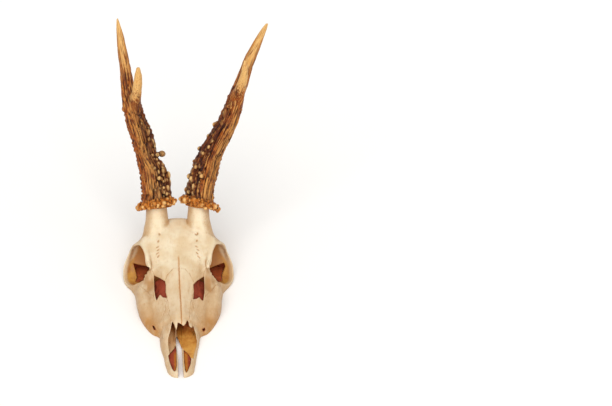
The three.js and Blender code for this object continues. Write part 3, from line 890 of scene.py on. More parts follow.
@dataclass
class Linings:
    """Dried tissue that closes the nose, the socket floors and the palate slits from within."""

    skull: Skull
    front: float = 64.0
    back: float = 104.0
    under_roof: float = 4.8
    pad: float = 1.6
    play: float = 0.25

    def nose(self) -> Array:
        """The dried mass in the back of the nose."""
        _, y, z = self.skull.clay.spots()
        folds = waves(self.skull.clay.axes, (3.5, 6, 3.5), 71) * 0.8
        mass = self.skull.hull + self.under_roof + folds
        mass = np.maximum(mass, np.maximum(self.front - y, y - self.back))
        mass = np.maximum(mass, self.skull.palate + self.play - z)
        return np.maximum(mass, np.maximum(self.skull.space + self.play, self.play - self.skull.clay.values))

    def skin(self, hole: Window) -> Array:
        """A thin skin across the bottom of a hole."""
        clay = self.skull.clay
        values = np.full_like(clay.values, BAND)
        cut = clay.window(hole, BAND)
        x, y, z = clay.spots(cut)
        height = self.pad + (waves(clay.axes[:2], (2.5, 2.5), 73) * 0.3)[cut[0], cut[1], None]
        sheet = np.maximum(hole.distance(x, y, z) + 0.1, np.maximum(z - height, 0.2 - z))
        sheet = np.maximum(sheet, self.skull.hull[cut] + 1.6)
        values[cut] = np.maximum(sheet, 0.1 - clay.values[cut])
        return values

    def build(self, place: Placer, material: Material) -> list[Piece]:
        """Casts the linings."""
        skull = self.skull
        parts = [("nose_lining", self.nose(), True)]
        for side in Side:
            floor = self.skin(Window(SOCKET_HOLES[side], SOCKET_LINING_DEPTH))
            parts.append((f"socket_lining_{side.word}", floor, True))
            slit = self.skin(Window(PALATE_SLITS[side], SLIT_DEPTH))
            parts.append((f"palate_skin_{side.word}", slit, False))
        x, y, _ = skull.clay.spots()
        amber = ease(6.2, 4.6, np.abs(x - 0.4)) * ease(34, 28, y) + 0.2 * ease(108, 114, y)
        pieces = []
        for name, values, stands_for_node in parts:
            piece = cast(f"{name}_tissue", skull.clay, values, place, {"amber": amber})
            piece.data.materials.append(material)
            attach(piece, "root")
            if stands_for_node:
                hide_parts(name)
            pieces.append(piece)
        return pieces


# ------------------------------------------------------------------------------------- antlers

ROUND = 720  # steps of the furrows round a beam


@dataclass
class Antler:
    """One antler in one piece, as it grows: burr, beam, top and front tine.

    Its clay has a frame of its own: x outwards, y up along the beam, z forward. Angles run round the
    beam from its outer side, and a quarter turn is its front.

    Attributes:
        side: the side that it stands on.
        beam: up, out, forward and radius, from the burr to the tip.
        tine: out, up, forward and radius.
        knobs: up, angle in degrees, radius, stretch and lift of the large pearls.
        pale: angle of the sun-bleached face, in degrees.
        seed: number that sets the small pearls and furrows.
        step: grid of the clay.
        burr_out, burr_up, burr_tilt: place of the burr, and its fall for each step outwards.
        foot_depth: how far the underside of the burr is below its middle.
        coronet: count, reach, height and size of each row of pearls on the burr.
        inner_face: angle of the face with most pearls, in degrees.
        inner_pearls, outer_pearls, spread_pearls: how many small ones there are on the beam.
    """

    side: Side
    beam: Rows
    tine: Rows
    knobs: Rows
    pale: float
    seed: int
    step: float = 0.45
    burr_out: float = 17.3
    burr_tilt: float = 0.18
    burr_up: float = 1.2
    foot_depth: float = 3.4
    coronet: Rows = ((24, 14.9, -0.4, 1.9), (30, 14.2, 1.6, 1.4), (34, 12.6, 3.0, 1.1), (38, 14.5, -2.2, 1.2))
    inner_face: float = 158.0
    inner_pearls: int = 230
    outer_pearls: int = 70
    spread_pearls: int = 80
    clay: Clay = field(init=False)
    relief: Array = field(init=False)
    inner: Array = field(init=False)
    tine_share: Array = field(init=False)
    base: Array = field(init=False)

    def centre(self, up: Array) -> Array:
        """Out, forward and radius of the beam at each height."""
        return curve(self.beam, up)

    def angles(self) -> tuple[Array, Array]:
        """Angle round the beam and distance from its middle line, for each spot."""
        x, _, z = self.clay.spots()
        rows = self.centre(self.clay.axes[1])
        slope = np.gradient(rows, self.clay.axes[1], axis=0)
        out, forward = (rows[None, :, k, None].astype(np.float32) for k in (0, 1))
        lean_out, lean_forward = (1 + slope[None, :, k, None].astype(np.float32) ** 2 for k in (0, 1))
        dx, dz = x - out, z - forward
        return np.arctan2(dz, dx), np.sqrt(dx * dx / lean_out + dz * dz / lean_forward)

    def furrows(self, up: Array) -> Array:
        """Lengthwise furrows round the beam, from -1 in a furrow to 1 on a ridge.

        Returns:
            A row for each step round the beam and a column for each height.
        """
        turn = np.linspace(0, 2 * math.pi, ROUND, endpoint=False)
        wide, thin, fine = (
            waves((turn, up), (2 * math.pi / count, length), self.seed + k, wrap=True)
            for k, (count, length) in enumerate(((16, 22), (30, 11), (60, 4.5)))
        )
        ridges = 1.0 - 1.5 * ease(0.34, 0.0, np.abs(thin)) - 0.9 * ease(0.3, 0.0, np.abs(wide))
        return np.clip(ridges * 0.75 + fine * 0.45 - 0.1, -1.4, 1.2)

    def model(self) -> None:
        """Builds the antler in clay."""
        ups = [row[0] for row in self.beam]
        self.clay = Clay((-4, -7.5, -28), (80, ups[-1] + 2, 30), self.step)
        up = self.clay.axes[1]
        angle, away = self.angles()
        relief = self.furrows(up)
        index = (angle * (ROUND / (2 * math.pi))).astype(int) % ROUND
        self.relief = relief[index, np.arange(len(up))[None, :, None]].astype(np.float32)
        radius = self.centre(up)[None, :, 2, None].astype(np.float32)
        end = ups[-1]
        share = np.clip(up / end, 0, 1)[None, :, None]
        inward = np.cos(angle - math.radians(self.inner_face))
        self.inner = ease(0.25, 0.8, inward) * (1 - ease(0.45, 0.68, share))
        depth = (0.5 + 0.45 * self.inner) * (1 - ease(0.5, 0.98, share)) + 0.16 * (1 - ease(0.9, 1, share))
        oval = 1 + 0.05 * np.cos(2 * (angle - 0.9)) * (1 - share)
        form = away - radius * oval - depth * self.relief
        form = np.maximum(form, np.maximum(up[None, :, None] - end, -2.5 - up[None, :, None]))
        self.clay.values = np.clip(form, -FAR, FAR).astype(np.float32)
        tine = Rod(self.tine)
        cut = self.clay.window(tine, 6)
        branch = tine.distance(*self.clay.spots(cut)) - 0.16 * self.relief[cut]
        self.tine_share = np.zeros_like(self.clay.values)
        self.tine_share[cut] = ease(1.5, -1.5, branch - self.clay.values[cut])
        self.clay.values[cut] = soft_min(self.clay.values[cut], branch, 3.5)
        self.set_ring()
        self.base = self.clay.values.copy()
        self.set_pearls()
        self.set_coronet()

    def on_beam(self, up: float, angle: float, lift: float) -> tuple[float, float, float]:
        """A place on the surface of the beam, that much above it."""
        out, forward, radius = self.centre(np.array([up]))[0]
        reach = radius + lift
        return out + reach * math.cos(angle), up, forward + reach * math.sin(angle)

    def pearl(self, up: float, angle: float, radius: float, stretch: float, lift: float) -> None:
        """A pearl on a short neck; lift is how far its centre stands off, in radii."""
        spot = self.on_beam(up, angle, radius * lift)
        self.clay.add(Blob(spot, (radius, radius * stretch, radius)), blend=0.8)

    def set_pearls(self) -> None:
        """Large pearls where they are known, and small ones in rows on the inner and front faces."""
        for up, degrees, radius, stretch, lift in self.knobs:
            self.pearl(up, math.radians(degrees), radius, stretch, lift)
        rolls = np.random.default_rng(self.seed + 5)
        reach = self.beam[-1][0]
        for _ in range(self.inner_pearls):
            up = 4 + (reach * 0.6 - 4) * rolls.random() ** 1.1
            angle = math.radians(rolls.normal(self.inner_face + 4, 27))
            fall = max(1 - up / (reach * 0.68), 0.1) ** 0.4
            radius = 0.8 + 1.25 * rolls.random() ** 1.3 * fall
            self.pearl(up, angle, radius, 1 + 0.8 * rolls.random() ** 2, 0.25 + 0.4 * rolls.random())
        for _ in range(self.outer_pearls):
            up = 4 + reach * 0.5 * rolls.random()
            self.pearl(up, math.radians(rolls.normal(0, 22)), 0.6 + 0.55 * rolls.random(), 1.1, 0.5)
        for _ in range(self.spread_pearls):
            up = 4 + reach * 0.5 * rolls.random()
            self.pearl(up, math.radians(rolls.uniform(0, 360)), 0.5 + 0.5 * rolls.random(), 1.6, 0.3)

    def set_ring(self) -> None:
        """The solid middle of the burr."""
        clay = self.clay
        cut = clay.window(Blob((self.burr_out, 0, 0), (18, 8, 18)), 2)
        x, y, z = clay.spots(cut)
        x = x - self.burr_out
        y = y + self.burr_tilt * x - self.burr_up
        ring = np.hypot(np.hypot(x, z) - 11.6, y * 1.2) - 3.1
        ring = np.minimum(ring, np.maximum(np.hypot(x, z) - 12.0, np.abs(y) - 2.8))
        clay.values[cut] = soft_min(clay.values[cut], ring, 2.0)

    def set_coronet(self) -> None:
        """The pearls of the burr, and its level foot."""
        clay = self.clay
        rolls = np.random.default_rng(self.seed + 9)
        for row, (count, reach, height, size) in enumerate(self.coronet):
            for k in range(count):
                angle = 2 * math.pi * (k + 0.5 * row + 0.5 * rolls.uniform(-1, 1)) / count
                out, radius = reach + 1.0 * rolls.uniform(-1, 1), size * rolls.uniform(0.55, 1.25)
                x, z = out * math.cos(angle), out * math.sin(angle)
                y = self.burr_up + height - self.burr_tilt * x + 0.7 * rolls.uniform(-1, 1)
                clay.add(Blob((self.burr_out + x, y, z), (radius, radius * 0.95, radius)), blend=0.6)
        x, y, z = clay.spots()
        clay.values = np.maximum(clay.values, -6.4 - y - self.burr_tilt * (x - 17))
        level = y + self.burr_tilt * (x - self.burr_out)
        under = np.maximum(np.hypot(x - self.burr_out, z) - 30, level + self.foot_depth)
        clay.values = np.maximum(clay.values, -under)

    def build(self, place: Placer, material: Material) -> Piece:
        """Models the antler and casts it."""
        self.model()
        x, up, forward = self.clay.spots()
        out, ahead = (self.centre(up.ravel())[None, :, k, None].astype(np.float32) for k in (0, 1))
        angle, _ = self.angles()
        share = up / self.beam[-1][0]
        tine_low, tine_high = self.tine[0][1], self.tine[-1][1]
        tip = ease(0.5, 1.0, share) * (1 - self.tine_share)
        tip = tip + ease(0.1, 0.6, (up - tine_low) / (tine_high - tine_low)) * self.tine_share
        leans = np.cos(angle - math.radians(self.pale))
        off_ring = np.abs(up + self.burr_tilt * (x - self.burr_out))
        readings = {
            "hollow": self.clay.hollows(1.8),
            "edge": self.clay.hollows(0.6),
            "rise": np.clip(self.base, -1, 4),
            "beside": x - out,
            "along": up,
            "before": forward - ahead,
            "inner": self.inner,
            "relief": self.relief,
            "tip": tip,
            "burr": ease(7.0, 4.0, off_ring),
            "branch": self.tine_share,
            # Sides of the beam near the tip, where the tips get painted shade
            "rim": np.abs(np.cos(angle)) * (1 - ease(0.9, 1.0, share)),
            "bleach": ease(0.55, 1.0, leans) * (1 - ease(0.4, 0.62, share)),
        }

        def stand(points: Array) -> Array:
            out, height, forward = points.T
            return place(np.stack(face_point(self.side.value * out, height, forward), axis=1))

        name = f"antler_{self.side.word}"
        piece = cast(name, self.clay, self.clay.values, stand, readings)
        piece.data.materials.append(material)
        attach(piece, "root")
        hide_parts(*(f"{name}_{part}" for part in ("burr", "beam", "top", "tine")))
        return piece


def both_antlers() -> list[Antler]:
    """The two antlers with their own sizes."""
    left = Antler(
        side=Side.LEFT,
        beam=(
            (-1, 18.4, 0, 11.6), (5, 18.8, 0, 10.4), (12.8, 19.7, 0, 9.9), (21, 21.7, -0.6, 9.7),
            (29.2, 24.1, -0.8, 9.8), (37.5, 26.4, -0.8, 9.2), (45.7, 30.2, -0.6, 8.9),
            (53.9, 34.8, 0, 8.3), (62.1, 39.4, 0.6, 7.5), (70.3, 43.6, 1.2, 7.2), (78.6, 46.6, 1.6, 6.4),
            (86.8, 48.9, 1.2, 6), (95, 52.1, -0.2, 5.7), (103.2, 55.1, -1.7, 5), (111.4, 58.2, -3.4, 4.5),
            (119.7, 61.4, -5.2, 4.4), (127.9, 65.4, -7.2, 3.8), (136.1, 69.4, -9.2, 3),
            (143, 73, -11, 2.1), (148.4, 76, -12.3, 0.9),
        ),
        tine=(
            (48.7, 82, 2, 5.2), (53, 95, 9.5, 4.3), (56.2, 105.5, 16, 3.1), (56.8, 112.5, 19.6, 2.2),
            (56.7, 117, 21.6, 0.9),
        ),
        knobs=(
            (65.7, 180, 2.2, 1.0, 1.0), (56, 172, 1.9, 1.2, 0.75), (46.2, 180, 2.6, 0.8, 0.8),
            (35.8, 180, 2.3, 0.8, 0.6), (23.5, 182, 2.6, 1.0, 0.8), (17.5, 174, 2.0, 1.0, 0.6),
            (12.6, 182, 2.3, 1.0, 0.8), (31, 140, 2.0, 1.0, 0.75), (21.5, 150, 2.2, 1.1, 0.75),
            (42, 128, 1.7, 1.0, 0.75), (52.5, 120, 1.6, 1.3, 0.75), (76, 178, 1.4, 1.1, 0.75),
        ),
        pale=35, seed=7, burr_tilt=0.27, burr_out=18.6,
    )
    right = Antler(
        side=Side.RIGHT,
        beam=(
            (-1, 17.8, 0, 11.9), (8.2, 17.6, 0, 10.8), (19.3, 19, -0.6, 10), (29.5, 20.6, -0.8, 9.8),
            (37.5, 23.9, -0.7, 8.2), (45.7, 26.4, -0.4, 7.7), (53.9, 28.2, 0, 7.9), (62.1, 30.6, 0.6, 8.2),
            (70.3, 33.5, 1.2, 7.4), (76, 35.1, 1.6, 7.1), (84, 37, 1.2, 6.6), (97, 39.3, -0.8, 5.3),
            (113.8, 41.3, -4, 4.4), (124, 42.9, -6.3, 3.9), (131, 43.9, -7.8, 3.5), (139, 44.8, -9.4, 2.9),
            (147.1, 46.1, -11.2, 1.9), (154.3, 47.1, -12.4, 0.6),
        ),
        tine=(
            (35.2, 76, 2, 5.4), (32.9, 88, 8, 4.3), (31.2, 100, 14.4, 3.6), (30.7, 107.5, 18, 2.9),
            (30.7, 112, 20, 1.6),
        ),
        knobs=(
            (42.4, 180, 3.0, 0.9, 1.85), (42.4, 180, 2.2, 0.8, 0.8), (41.5, 160, 2.2, 1.0, 0.75),
            (24.5, 180, 2.3, 1.6, 0.9), (18, 181, 2.0, 2.2, 0.9), (33, 158, 1.9, 1.2, 0.75),
            (50, 165, 1.7, 1.8, 0.75), (57, 172, 1.6, 1.4, 0.75), (65, 168, 1.4, 1.2, 0.75),
            (14, 150, 1.8, 1.6, 0.75), (28, 140, 1.6, 1.3, 0.75), (74, 172, 1.2, 1.3, 0.75),
            (80, 168, 1.2, 1.1, 0.75),
        ),
        pale=100, seed=23,
    )
    return [left, right]


# ------------------------------------------------------------------------------------ finishes


def shade(red: int, green: int, blue: int) -> tuple[float, float, float, float]:
    """A colour as a painter reads it off a chart, 0 to 255, made linear."""
    shares = (red / 255, green / 255, blue / 255)
    linear = [share / 12.92 if share < 0.0405 else ((share + 0.055) / 1.055) ** 2.4 for share in shares]
    return (*linear, 1.0)


Value = float | tuple | Socket


@dataclass
class Graph:
    """A node tree, written one node at a time."""

    tree: Tree

    def join(self, socket: Socket, value: Value) -> None:
        """Feeds an input from another node, or sets it."""
        if isinstance(value, Socket):
            self.tree.links.new(value, socket)
        else:
            socket.default_value = value

    def node(self, kind: str, settings: dict[str, object] | None = None, **values: Value) -> bpy.types.Node:
        """Adds a node.

        Args:
            kind: type of the node, such as ShaderNodeMath.
            settings: its own properties.
            values: its inputs by name, with _ for a space, or by place as i0, i1.

        Returns:
            The new node.
        """
        node = self.tree.nodes.new(kind)
        for word, value in (settings or {}).items():
            setattr(node, word, value)
        for word, value in values.items():
            by_place = word[0] == "i" and word[1:].isdigit()
            self.join(node.inputs[int(word[1:]) if by_place else word.replace("_", " ")], value)
        return node

    def group(self, tree: Tree, **values: Value) -> bpy.types.bpy_prop_collection:
        """The outputs of a shared group."""
        return self.node("ShaderNodeGroup", {"node_tree": tree}, **values).outputs

    def noise(self, place: Value, scale: Value, detail: Value, rough: float = 0.5) -> Socket:
        """Cloudy noise from 0 to 1."""
        node = self.node("ShaderNodeTexNoise", Vector=place, Scale=scale, Detail=detail, Roughness=rough)
        return node.outputs[0]

    def math(self, operation: str, a: Value, b: Value = 0.0, clamp: bool = False) -> Socket:
        """The result of one sum."""
        node = self.node("ShaderNodeMath", {"operation": operation, "use_clamp": clamp}, i0=a, i1=b)
        return node.outputs[0]

    def total(self, a: Value, b: Value) -> Socket:
        """Two values added."""
        return self.math("ADD", a, b)

    def product(self, *factors: Value) -> Value:
        """Values multiplied."""
        return reduce(lambda a, b: self.math("MULTIPLY", a, b), factors)

    def blend(self, share: Value, a: Value, b: Value) -> Socket:
        """A colour between a and b."""
        return self.node("ShaderNodeMix", {"data_type": "RGBA"}, i0=share, i6=a, i7=b).outputs[2]

    def coats(self, colour: Value, *coats: tuple[Value, ...]) -> Value:
        """A colour with coats of paint over it. Each is a paint, then the factors of how well it covers."""
        for paint, *shares in coats:
            colour = self.blend(self.product(*shares), colour, paint)
        return colour

    def remap(self, value: Value, low: float, high: float, start: float = 0.0, end: float = 1.0) -> Socket:
        """A value moved smoothly from the range low to high into the range start to end."""
        return self.node(
            "ShaderNodeMapRange", {"interpolation_type": "SMOOTHSTEP"},
            Value=value, From_Min=low, From_Max=high, To_Min=start, To_Max=end,
        ).outputs[0]

    def reading(self, name: str) -> Socket:
        """A value that was kept on the mesh."""
        return self.node("ShaderNodeAttribute", {"attribute_name": name}).outputs["Fac"]

    def bump(self, height: Value, strength: float, distance: float) -> Socket:
        """The normal of a fine relief."""
        return self.node("ShaderNodeBump", Strength=strength, Distance=distance, Height=height).outputs[0]


def new_group(name: str, inputs: dict[str, float | None], output_names: Sequence[str]
              ) -> tuple[Graph, Callable[[str], Socket], Callable[[str, Socket], object]]:
    """Starts a shader group.

    Args:
        name: name of the group.
        inputs: its inputs with their starting values, None for a vector.
        output_names: its outputs, each a number.

    Returns:
        The graph, a function that gives an input and a function that sets an output.
    """
    tree = bpy.data.node_groups.new(name, "ShaderNodeTree")
    for word, value in inputs.items():
        kind = "NodeSocketVector" if value is None else "NodeSocketFloat"
        socket = tree.interface.new_socket(word, in_out="INPUT", socket_type=kind)
        if value is not None:
            socket.default_value = value
    for word in output_names:
        tree.interface.new_socket(word, in_out="OUTPUT", socket_type="NodeSocketFloat")
    graph = Graph(tree)
    given, result = graph.node("NodeGroupInput").outputs, graph.node("NodeGroupOutput").inputs
    return graph, lambda word: given[word], lambda word, value: tree.links.new(value, result[word])


def make_grain() -> Tree:
    """Shared group: streaks that run along one direction, as in bone and antler."""
    inputs = {"Place": None, "Across": 1.0, "Along": 0.1, "Detail": 3.0, "Contrast": 1.0}
    graph, given, give = new_group("grain", inputs, ["Mask"])
    x, y, z = graph.node("ShaderNodeSeparateXYZ", Vector=given("Place")).outputs
    stretched = graph.node(
        "ShaderNodeCombineXYZ", X=graph.product(x, given("Across")), Y=graph.product(y, given("Along")),
        Z=graph.product(z, given("Across")),
    ).outputs[0]
    centred = graph.math("SUBTRACT", graph.noise(stretched, 1.0, given("Detail")), 0.5)
    give("Mask", graph.math("ADD", graph.product(centred, given("Contrast")), 0.5, clamp=True))
    return graph.tree


def make_wear_and_shade() -> Tree:
    """Shared group: tells edges from hollows by how much solid lies around a spot; the antler takes them as
    rubbed edges and soiled hollows, the bone as painted highlight on its edges and painted shade in its
    hollows.
    """
    inputs = {"Hollow": 0.5, "Edge": 0.5, "Reach": 0.2, "Break up": 0.5}
    graph, given, give = new_group("wear_and_shade", inputs, ["Rubbed", "Soiled_and_shaded"])
    uneven = graph.product(graph.math("SUBTRACT", given("Break up"), 0.5), 0.12)
    coarse = graph.total(graph.math("SUBTRACT", given("Hollow"), 0.5), uneven)
    fine = graph.total(graph.math("SUBTRACT", given("Edge"), 0.5), uneven)
    both = graph.total(graph.product(coarse, 0.6), graph.product(fine, 0.6))
    give("Soiled_and_shaded", graph.math("DIVIDE", both, given("Reach"), clamp=True))
    give("Rubbed", graph.math("DIVIDE", graph.product(both, -1.0), given("Reach"), clamp=True))
    return graph.tree


def make_pores() -> Tree:
    """Shared group: fine pores and grit for the relief of a surface."""
    graph, given, give = new_group("pores", {"Place": None, "Size": 0.5, "Depth": 0.5}, ["Height"])
    scale = graph.math("DIVIDE", 1.0, given("Size"))
    holes = graph.node(
        "ShaderNodeTexVoronoi", {"feature": "F1"}, Vector=given("Place"), Scale=graph.product(scale, 0.55)
    )
    pits = graph.remap(holes.outputs["Distance"], 0.0, 0.28)
    give("Height", graph.total(graph.product(pits, given("Depth")), graph.noise(given("Place"), scale, 2.0)))
    return graph.tree


@dataclass
class Effects:
    """The shader groups that more than one finish uses."""

    grain: Tree = field(default_factory=make_grain)
    wear_and_shade: Tree = field(default_factory=make_wear_and_shade)
    pores: Tree = field(default_factory=make_pores)


def start_material(name: str) -> tuple[Material, Graph, Socket]:
    """A new material, its graph, and object coordinates in millimetres."""
    material = bpy.data.materials.new(name)
    material.use_nodes = True
    graph = Graph(material.node_tree)
    place = graph.node("ShaderNodeTexCoord").outputs["Object"]
    scaled = graph.node("ShaderNodeVectorMath", {"operation": "SCALE"}, i0=place, Scale=1 / MM)
    return material, graph, scaled.outputs[0]


def finish_material(graph: Graph, specular: float, **values: Value) -> bpy.types.Node:
    """Joins the parts of a finish to the shader, which is returned."""
    shader = graph.tree.nodes["Principled BSDF"]
    for word, value in values.items():
        graph.join(shader.inputs[word.replace("_", " ")], value)
    shader.inputs["Specular IOR Level"].default_value = specular
    return shader


@dataclass(frozen=True)
class BoneFinish:
    """Bleached, degreased bone: ivory, stained where tissue dried on it; painted shade in tan, rose and
    orange on its sides, hollows and insides, and painted light on its edges and inner walls.
    """

    ivory: tuple = shade(231, 215, 184)
    cream: tuple = shade(219, 194, 155)
    tan: tuple = shade(174, 128, 78)
    rose: tuple = shade(190, 152, 108)
    orange: tuple = shade(178, 124, 60)
    # Painted warm shade inside the nose, then its lighter part
    honey: tuple = shade(186, 118, 36)
    amber: tuple = shade(212, 154, 66)
    # Painted shade inside the sockets and other deep hollows
    painted_socket_shade: tuple = shade(166, 104, 40)
    # Painted light on the lit outer walls of the sockets
    gold: tuple = shade(194, 140, 50)
    stained: tuple = shade(160, 74, 44)
    seam: tuple = shade(186, 118, 48)

    def material(self, effects: Effects) -> Material:
        """Builds the material."""
        material, graph, place = start_material("bleached_bone")
        broad, blotch = graph.noise(place, 0.055, 3.0), graph.noise(place, 0.21, 4.0, 0.6)
        grain = graph.group(effects.grain, Place=place, Across=1.0, Along=0.09, Contrast=1.6)[0]
        hollow, edge = graph.reading("hollow"), graph.reading("edge")
        wear_and_shade = graph.group(effects.wear_and_shade, Hollow=hollow, Edge=edge, Reach=0.16, Break_up=blotch)
        # Painted shade: faces turned sideways, away from the light, get rose and stronger tan streaks
        normal = graph.node("ShaderNodeNewGeometry").outputs["Normal"]
        sideways = graph.node("ShaderNodeSeparateXYZ", Vector=normal).outputs[0]
        turned = graph.total(graph.math("ABSOLUTE", sideways), graph.product(blotch, 0.3))
        # Painted light and shade in the sockets: dark orange for the shaded walls, gold for the lit outer
        # walls
        lit_flank = graph.product(graph.reading("lit_flank"), graph.remap(blotch, 0.3, 0.6))
        socket = graph.blend(lit_flank, self.painted_socket_shade, self.gold)
        # Painted warm shade inside the nose
        nostril = graph.blend(graph.remap(blotch, 0.35, 0.65), self.honey, self.amber)
        nose = graph.reading("nose")
        colour = graph.coats(
            self.ivory,
            (self.cream, graph.remap(broad, 0.38, 0.66)),
            (self.cream, graph.remap(blotch, 0.45, 0.75), 0.35),
            # Painted shade on faces turned sideways
            (self.rose, graph.remap(turned, 0.36, 1.0), 0.9),
            # Painted shade towards the nose
            (self.rose, graph.reading("front"), 0.42),
            # Tan streaks, stronger on sideways faces as painted shade
            (self.tan, graph.remap(grain, 0.5, 0.85), graph.remap(turned, 0.3, 0.9, 0.12, 0.5)),
            # Painted shade on the lower front ends of the cheeks
            (self.orange, graph.reading("cheek"), 0.9),
            # Painted shade in the hollows of the bone
            (self.tan, wear_and_shade["Soiled_and_shaded"], 0.4),
            # Painted shade in the pits in front of the sockets
            (self.tan, graph.reading("patch"), 0.95),
            # Painted shade and painted light inside the sockets and the nose
            (graph.blend(nose, socket, nostril), graph.math("MAXIMUM", graph.reading("inside"), nose), 0.92),
            (self.seam, graph.reading("suture"), 0.9),
            (self.seam, graph.reading("soil"), 0.2),
            # Painted highlight on the edges of the bone
            (self.ivory, wear_and_shade["Rubbed"], 0.35),
            (self.stained, graph.reading("stain")),
        )
        pores = graph.group(effects.pores, Place=place, Size=0.7, Depth=0.35)[0]
        relief = graph.total(graph.product(pores, 0.25), graph.product(grain, 0.3))
        rough = graph.remap(blotch, 0.3, 0.7, 0.42, 0.58)
        normal = graph.bump(relief, 0.25, 0.0004)
        shader = finish_material(graph, 0.35, Base_Color=colour, Roughness=rough, Normal=normal)
        shader.inputs["Subsurface Weight"].default_value = 0.1
        shader.inputs["Subsurface Radius"].default_value = (1.0, 0.6, 0.35)
        shader.inputs["Subsurface Scale"].default_value = 0.0015
        return material


@dataclass(frozen=True)
class AntlerFinish:
    """Antler: near black in the furrows, brown between them, rubbed pale on pearls and tips, with painted
    shade in amber on the sides of the tips.
    """

    furrow: tuple = shade(40, 12, 3)
    umber: tuple = shade(116, 50, 8)
    streaked: tuple = shade(206, 144, 70)
    brown: tuple = shade(172, 88, 14)
    shadow: tuple = shade(76, 26, 6)
    rubbed: tuple = shade(240, 192, 122)
    tip: tuple = shade(226, 178, 110)
    # Painted shade on the sides of the tips
    amber: tuple = shade(176, 104, 32)
    gold: tuple = shade(190, 108, 28)
    bleached: tuple = shade(184, 130, 66)

    def material(self, effects: Effects) -> Material:
        """Builds the material."""
        material, graph, place = start_material("rough_antler")
        tip, burr, inner = (graph.reading(word) for word in ("tip", "burr", "inner"))
        hollow, edge = graph.reading("hollow"), graph.reading("edge")
        beside, along, before = (graph.reading(word) for word in ("beside", "along", "before"))
        on_beam = graph.node("ShaderNodeCombineXYZ", X=beside, Y=along, Z=before).outputs[0]
        blotch = graph.noise(place, 0.16, 4.0, 0.65)
        grain = graph.group(effects.grain, Place=on_beam, Across=0.85, Along=0.055, Contrast=3.6)[0]
        wear_and_shade = graph.group(effects.wear_and_shade, Hollow=hollow, Edge=edge, Reach=0.22, Break_up=grain)
        tipped = graph.total(tip, graph.product(graph.math("SUBTRACT", grain, 0.5), 0.9))
        # Painted shade: the tips go amber towards their sides, lighter in the middle
        rim = graph.total(graph.reading("rim"), graph.product(grain, 0.4))
        worn_off = graph.remap(tip, 0.0, 1.0, 1.0, 0.1)
        off_tine = graph.remap(graph.reading("branch"), 0.0, 1.0, 1.0, 0.25)
        groove = graph.remap(graph.reading("relief"), 0.0, -0.9)
        rise = graph.remap(graph.reading("rise"), 1.2, 2.8)
        colour = graph.coats(
            self.umber,
            (self.brown, graph.remap(blotch, 0.36, 0.64)),
            (self.bleached, graph.reading("bleach"), graph.remap(blotch, 0.3, 0.6, 0.0, 0.8)),
            (self.shadow, inner, 0.8),
            (self.gold, burr, 0.95),
            (graph.blend(graph.remap(rim, 0.6, 1.25), self.tip, self.amber), graph.remap(tipped, 0.05, 1.0)),
            (self.streaked, graph.remap(grain, 0.62, 1.0), graph.remap(inner, 0.0, 1.0, 0.7, 0.2)),
            (self.furrow, graph.remap(grain, 0.42, 0.1), 0.9, off_tine, worn_off),
            (self.furrow, groove, graph.remap(burr, 0.0, 1.0, 0.75, 0.0), worn_off),
            (self.furrow, wear_and_shade["Soiled_and_shaded"], graph.remap(burr, 0.0, 1.0, 0.95, 1.0), worn_off),
            (self.rubbed, rise, graph.remap(blotch, 0.3, 0.6, 0.3, 1.0), wear_and_shade["Rubbed"]),
        )
        pores = graph.group(effects.pores, Place=place, Size=0.6, Depth=0.5)[0]
        normal = graph.bump(graph.total(graph.product(pores, 0.3), grain), 0.6, 0.0007)
        rough = graph.remap(grain, 0.2, 0.8, 0.4, 0.56)
        finish_material(graph, 0.2, Base_Color=colour, Roughness=rough, Normal=normal)
        return material


@dataclass(frozen=True)
class LiningFinish:
    """Dried tissue, red-brown and matt."""

    red: tuple = shade(156, 66, 40)
    dark: tuple = shade(136, 54, 34)
    amber: tuple = shade(190, 116, 38)

    def material(self, effects: Effects) -> Material:
        """Builds the material."""
        material, graph, place = start_material("dried_tissue")
        blotch = graph.noise(place, 0.25, 4.0)
        colour = graph.coats(
            self.red, (self.dark, graph.remap(blotch, 0.4, 0.7)), (self.amber, graph.reading("amber"))
        )
        pores = graph.group(effects.pores, Place=place, Size=0.8, Depth=0.4)[0]
        rough = graph.remap(blotch, 0.3, 0.7, 0.6, 0.8)
        normal = graph.bump(pores, 0.4, 0.0005)
        finish_material(graph, 0.3, Base_Color=colour, Roughness=rough, Normal=normal)
        return material


@dataclass(frozen=True)
class FloorFinish:
    """Pale painted floor."""

    paint: tuple = shade(250, 249, 247)
    scuffed: tuple = shade(235, 233, 230)

    def material(self) -> Material:
        """Builds the material."""
        material, graph, place = start_material("painted_floor")
        colour = graph.coats(self.paint, (self.scuffed, graph.noise(place, 0.02, 2.0), 0.05))
        finish_material(graph, 0.1, Base_Color=colour, Roughness=0.9)
        return material


# -------------------------------------------------------------------------------------- studio


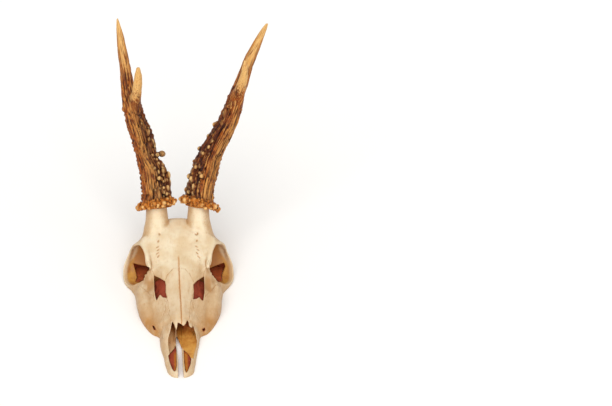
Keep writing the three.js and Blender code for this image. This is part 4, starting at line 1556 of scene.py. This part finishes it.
@dataclass
class Studio:
    """Floor, camera and soft light."""

    elevation: float = 37.0
    azimuth: float = -1.4
    distance: float = 9.0
    scale: float = 0.822  # mm of the face plane for each step of a frame 612 steps wide
    frame_steps: float = 612.0
    sensor: float = 36.0
    across: float = 104.9  # mm from the aim, between the sockets, to the middle of the frame
    up: float = 57.6
    aim_back: float = 0.134  # m from the tip of the nose
    aim_height: float = 0.005

    @staticmethod
    def direction(azimuth: float, elevation: float) -> Vector:
        """Way towards a place that is seen at these angles, in degrees, from in front."""
        az, el = math.radians(azimuth), math.radians(elevation)
        return Vector((math.sin(az) * math.cos(el), -math.cos(az) * math.cos(el), math.sin(el)))

    def camera(self, aim: Vector) -> None:
        """Camera that looks down on the skull from in front."""
        towards = self.direction(self.azimuth, self.elevation)
        right = Vector((0, 0, 1)).cross(towards).normalized()
        up = towards.cross(right)
        target = aim + right * self.across * MM + up * self.up * MM
        data = bpy.data.cameras.new("camera")
        data.sensor_width = self.sensor
        data.lens = self.sensor * self.distance / (self.frame_steps * self.scale * MM)
        data.clip_start, data.clip_end = 0.05, 100
        camera = bpy.data.objects.new("camera", data)
        camera.matrix_world = Matrix.Translation(target + towards * self.distance) @ Matrix(
            (right, up, towards)
        ).transposed().to_4x4()
        bpy.context.scene.collection.objects.link(camera)
        bpy.context.scene.camera = camera

    def floor(self, finish: FloorFinish) -> None:
        """A wide pale floor."""
        bpy.ops.object.select_all(action="DESELECT")
        bpy.ops.mesh.primitive_plane_add(size=8.0, location=(0, 0, 0))
        floor = bpy.context.object
        floor.name = "floor"
        floor.data.materials.append(finish.material())
        floor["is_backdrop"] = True

    def light(self, name: str, azimuth: float, elevation: float, strength: float, softness: float) -> None:
        """A far, broad lamp. Angles are in degrees, as for the camera."""
        data = bpy.data.lights.new(name, "SUN")
        data.energy, data.angle = strength, math.radians(softness)
        lamp = bpy.data.objects.new(name, data)
        towards = self.direction(azimuth, elevation)
        lamp.location = towards * 3
        lamp.rotation_euler = towards.to_track_quat("Z", "Y").to_euler()
        bpy.context.scene.collection.objects.link(lamp)

    def lights(self) -> None:
        """Soft light from above the camera, fill from the side, and pale surroundings."""
        self.light("key", -14, 52, 2.0, 60)
        self.light("fill", 40, 30, 0.35, 60)
        world = bpy.data.worlds.new("studio")
        world.use_nodes = True
        sky = world.node_tree.nodes["Background"].inputs
        sky["Color"].default_value = (1.0, 0.99, 0.97, 1.0)
        sky["Strength"].default_value = 0.56
        bpy.context.scene.world = world
        bpy.context.scene.view_settings.view_transform = "Standard"


# ---------------------------------------------------------------------------------------- main


def main() -> None:
    """Builds the skull, the linings, the antlers and the studio."""
    logging.basicConfig(level=logging.INFO, format="%(name)s: %(message)s")
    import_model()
    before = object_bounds()
    rear_low, rear_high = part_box("braincase")
    middle, nose_tip = (rear_low.x + rear_high.x) / 2, before[0].y

    def place(points: Array) -> Array:
        """Turns the skull's own frame in mm into the row frame in metres."""
        return points * MM + np.array([middle, nose_tip, 0.0])

    effects = Effects()
    skull = Skull()
    pieces = skull.build(place, BoneFinish().material(effects))
    pieces += Linings(skull).build(place, LiningFinish().material(effects))
    antler_material = AntlerFinish().material(effects)
    pieces += [antler.build(place, antler_material) for antler in both_antlers()]
    log.info("%d pieces", len(pieces))
    studio = Studio()
    studio.floor(FloorFinish())
    studio.lights()
    studio.camera(Vector((middle, nose_tip + studio.aim_back, studio.aim_height)))


if __name__ == "__main__":
    main()
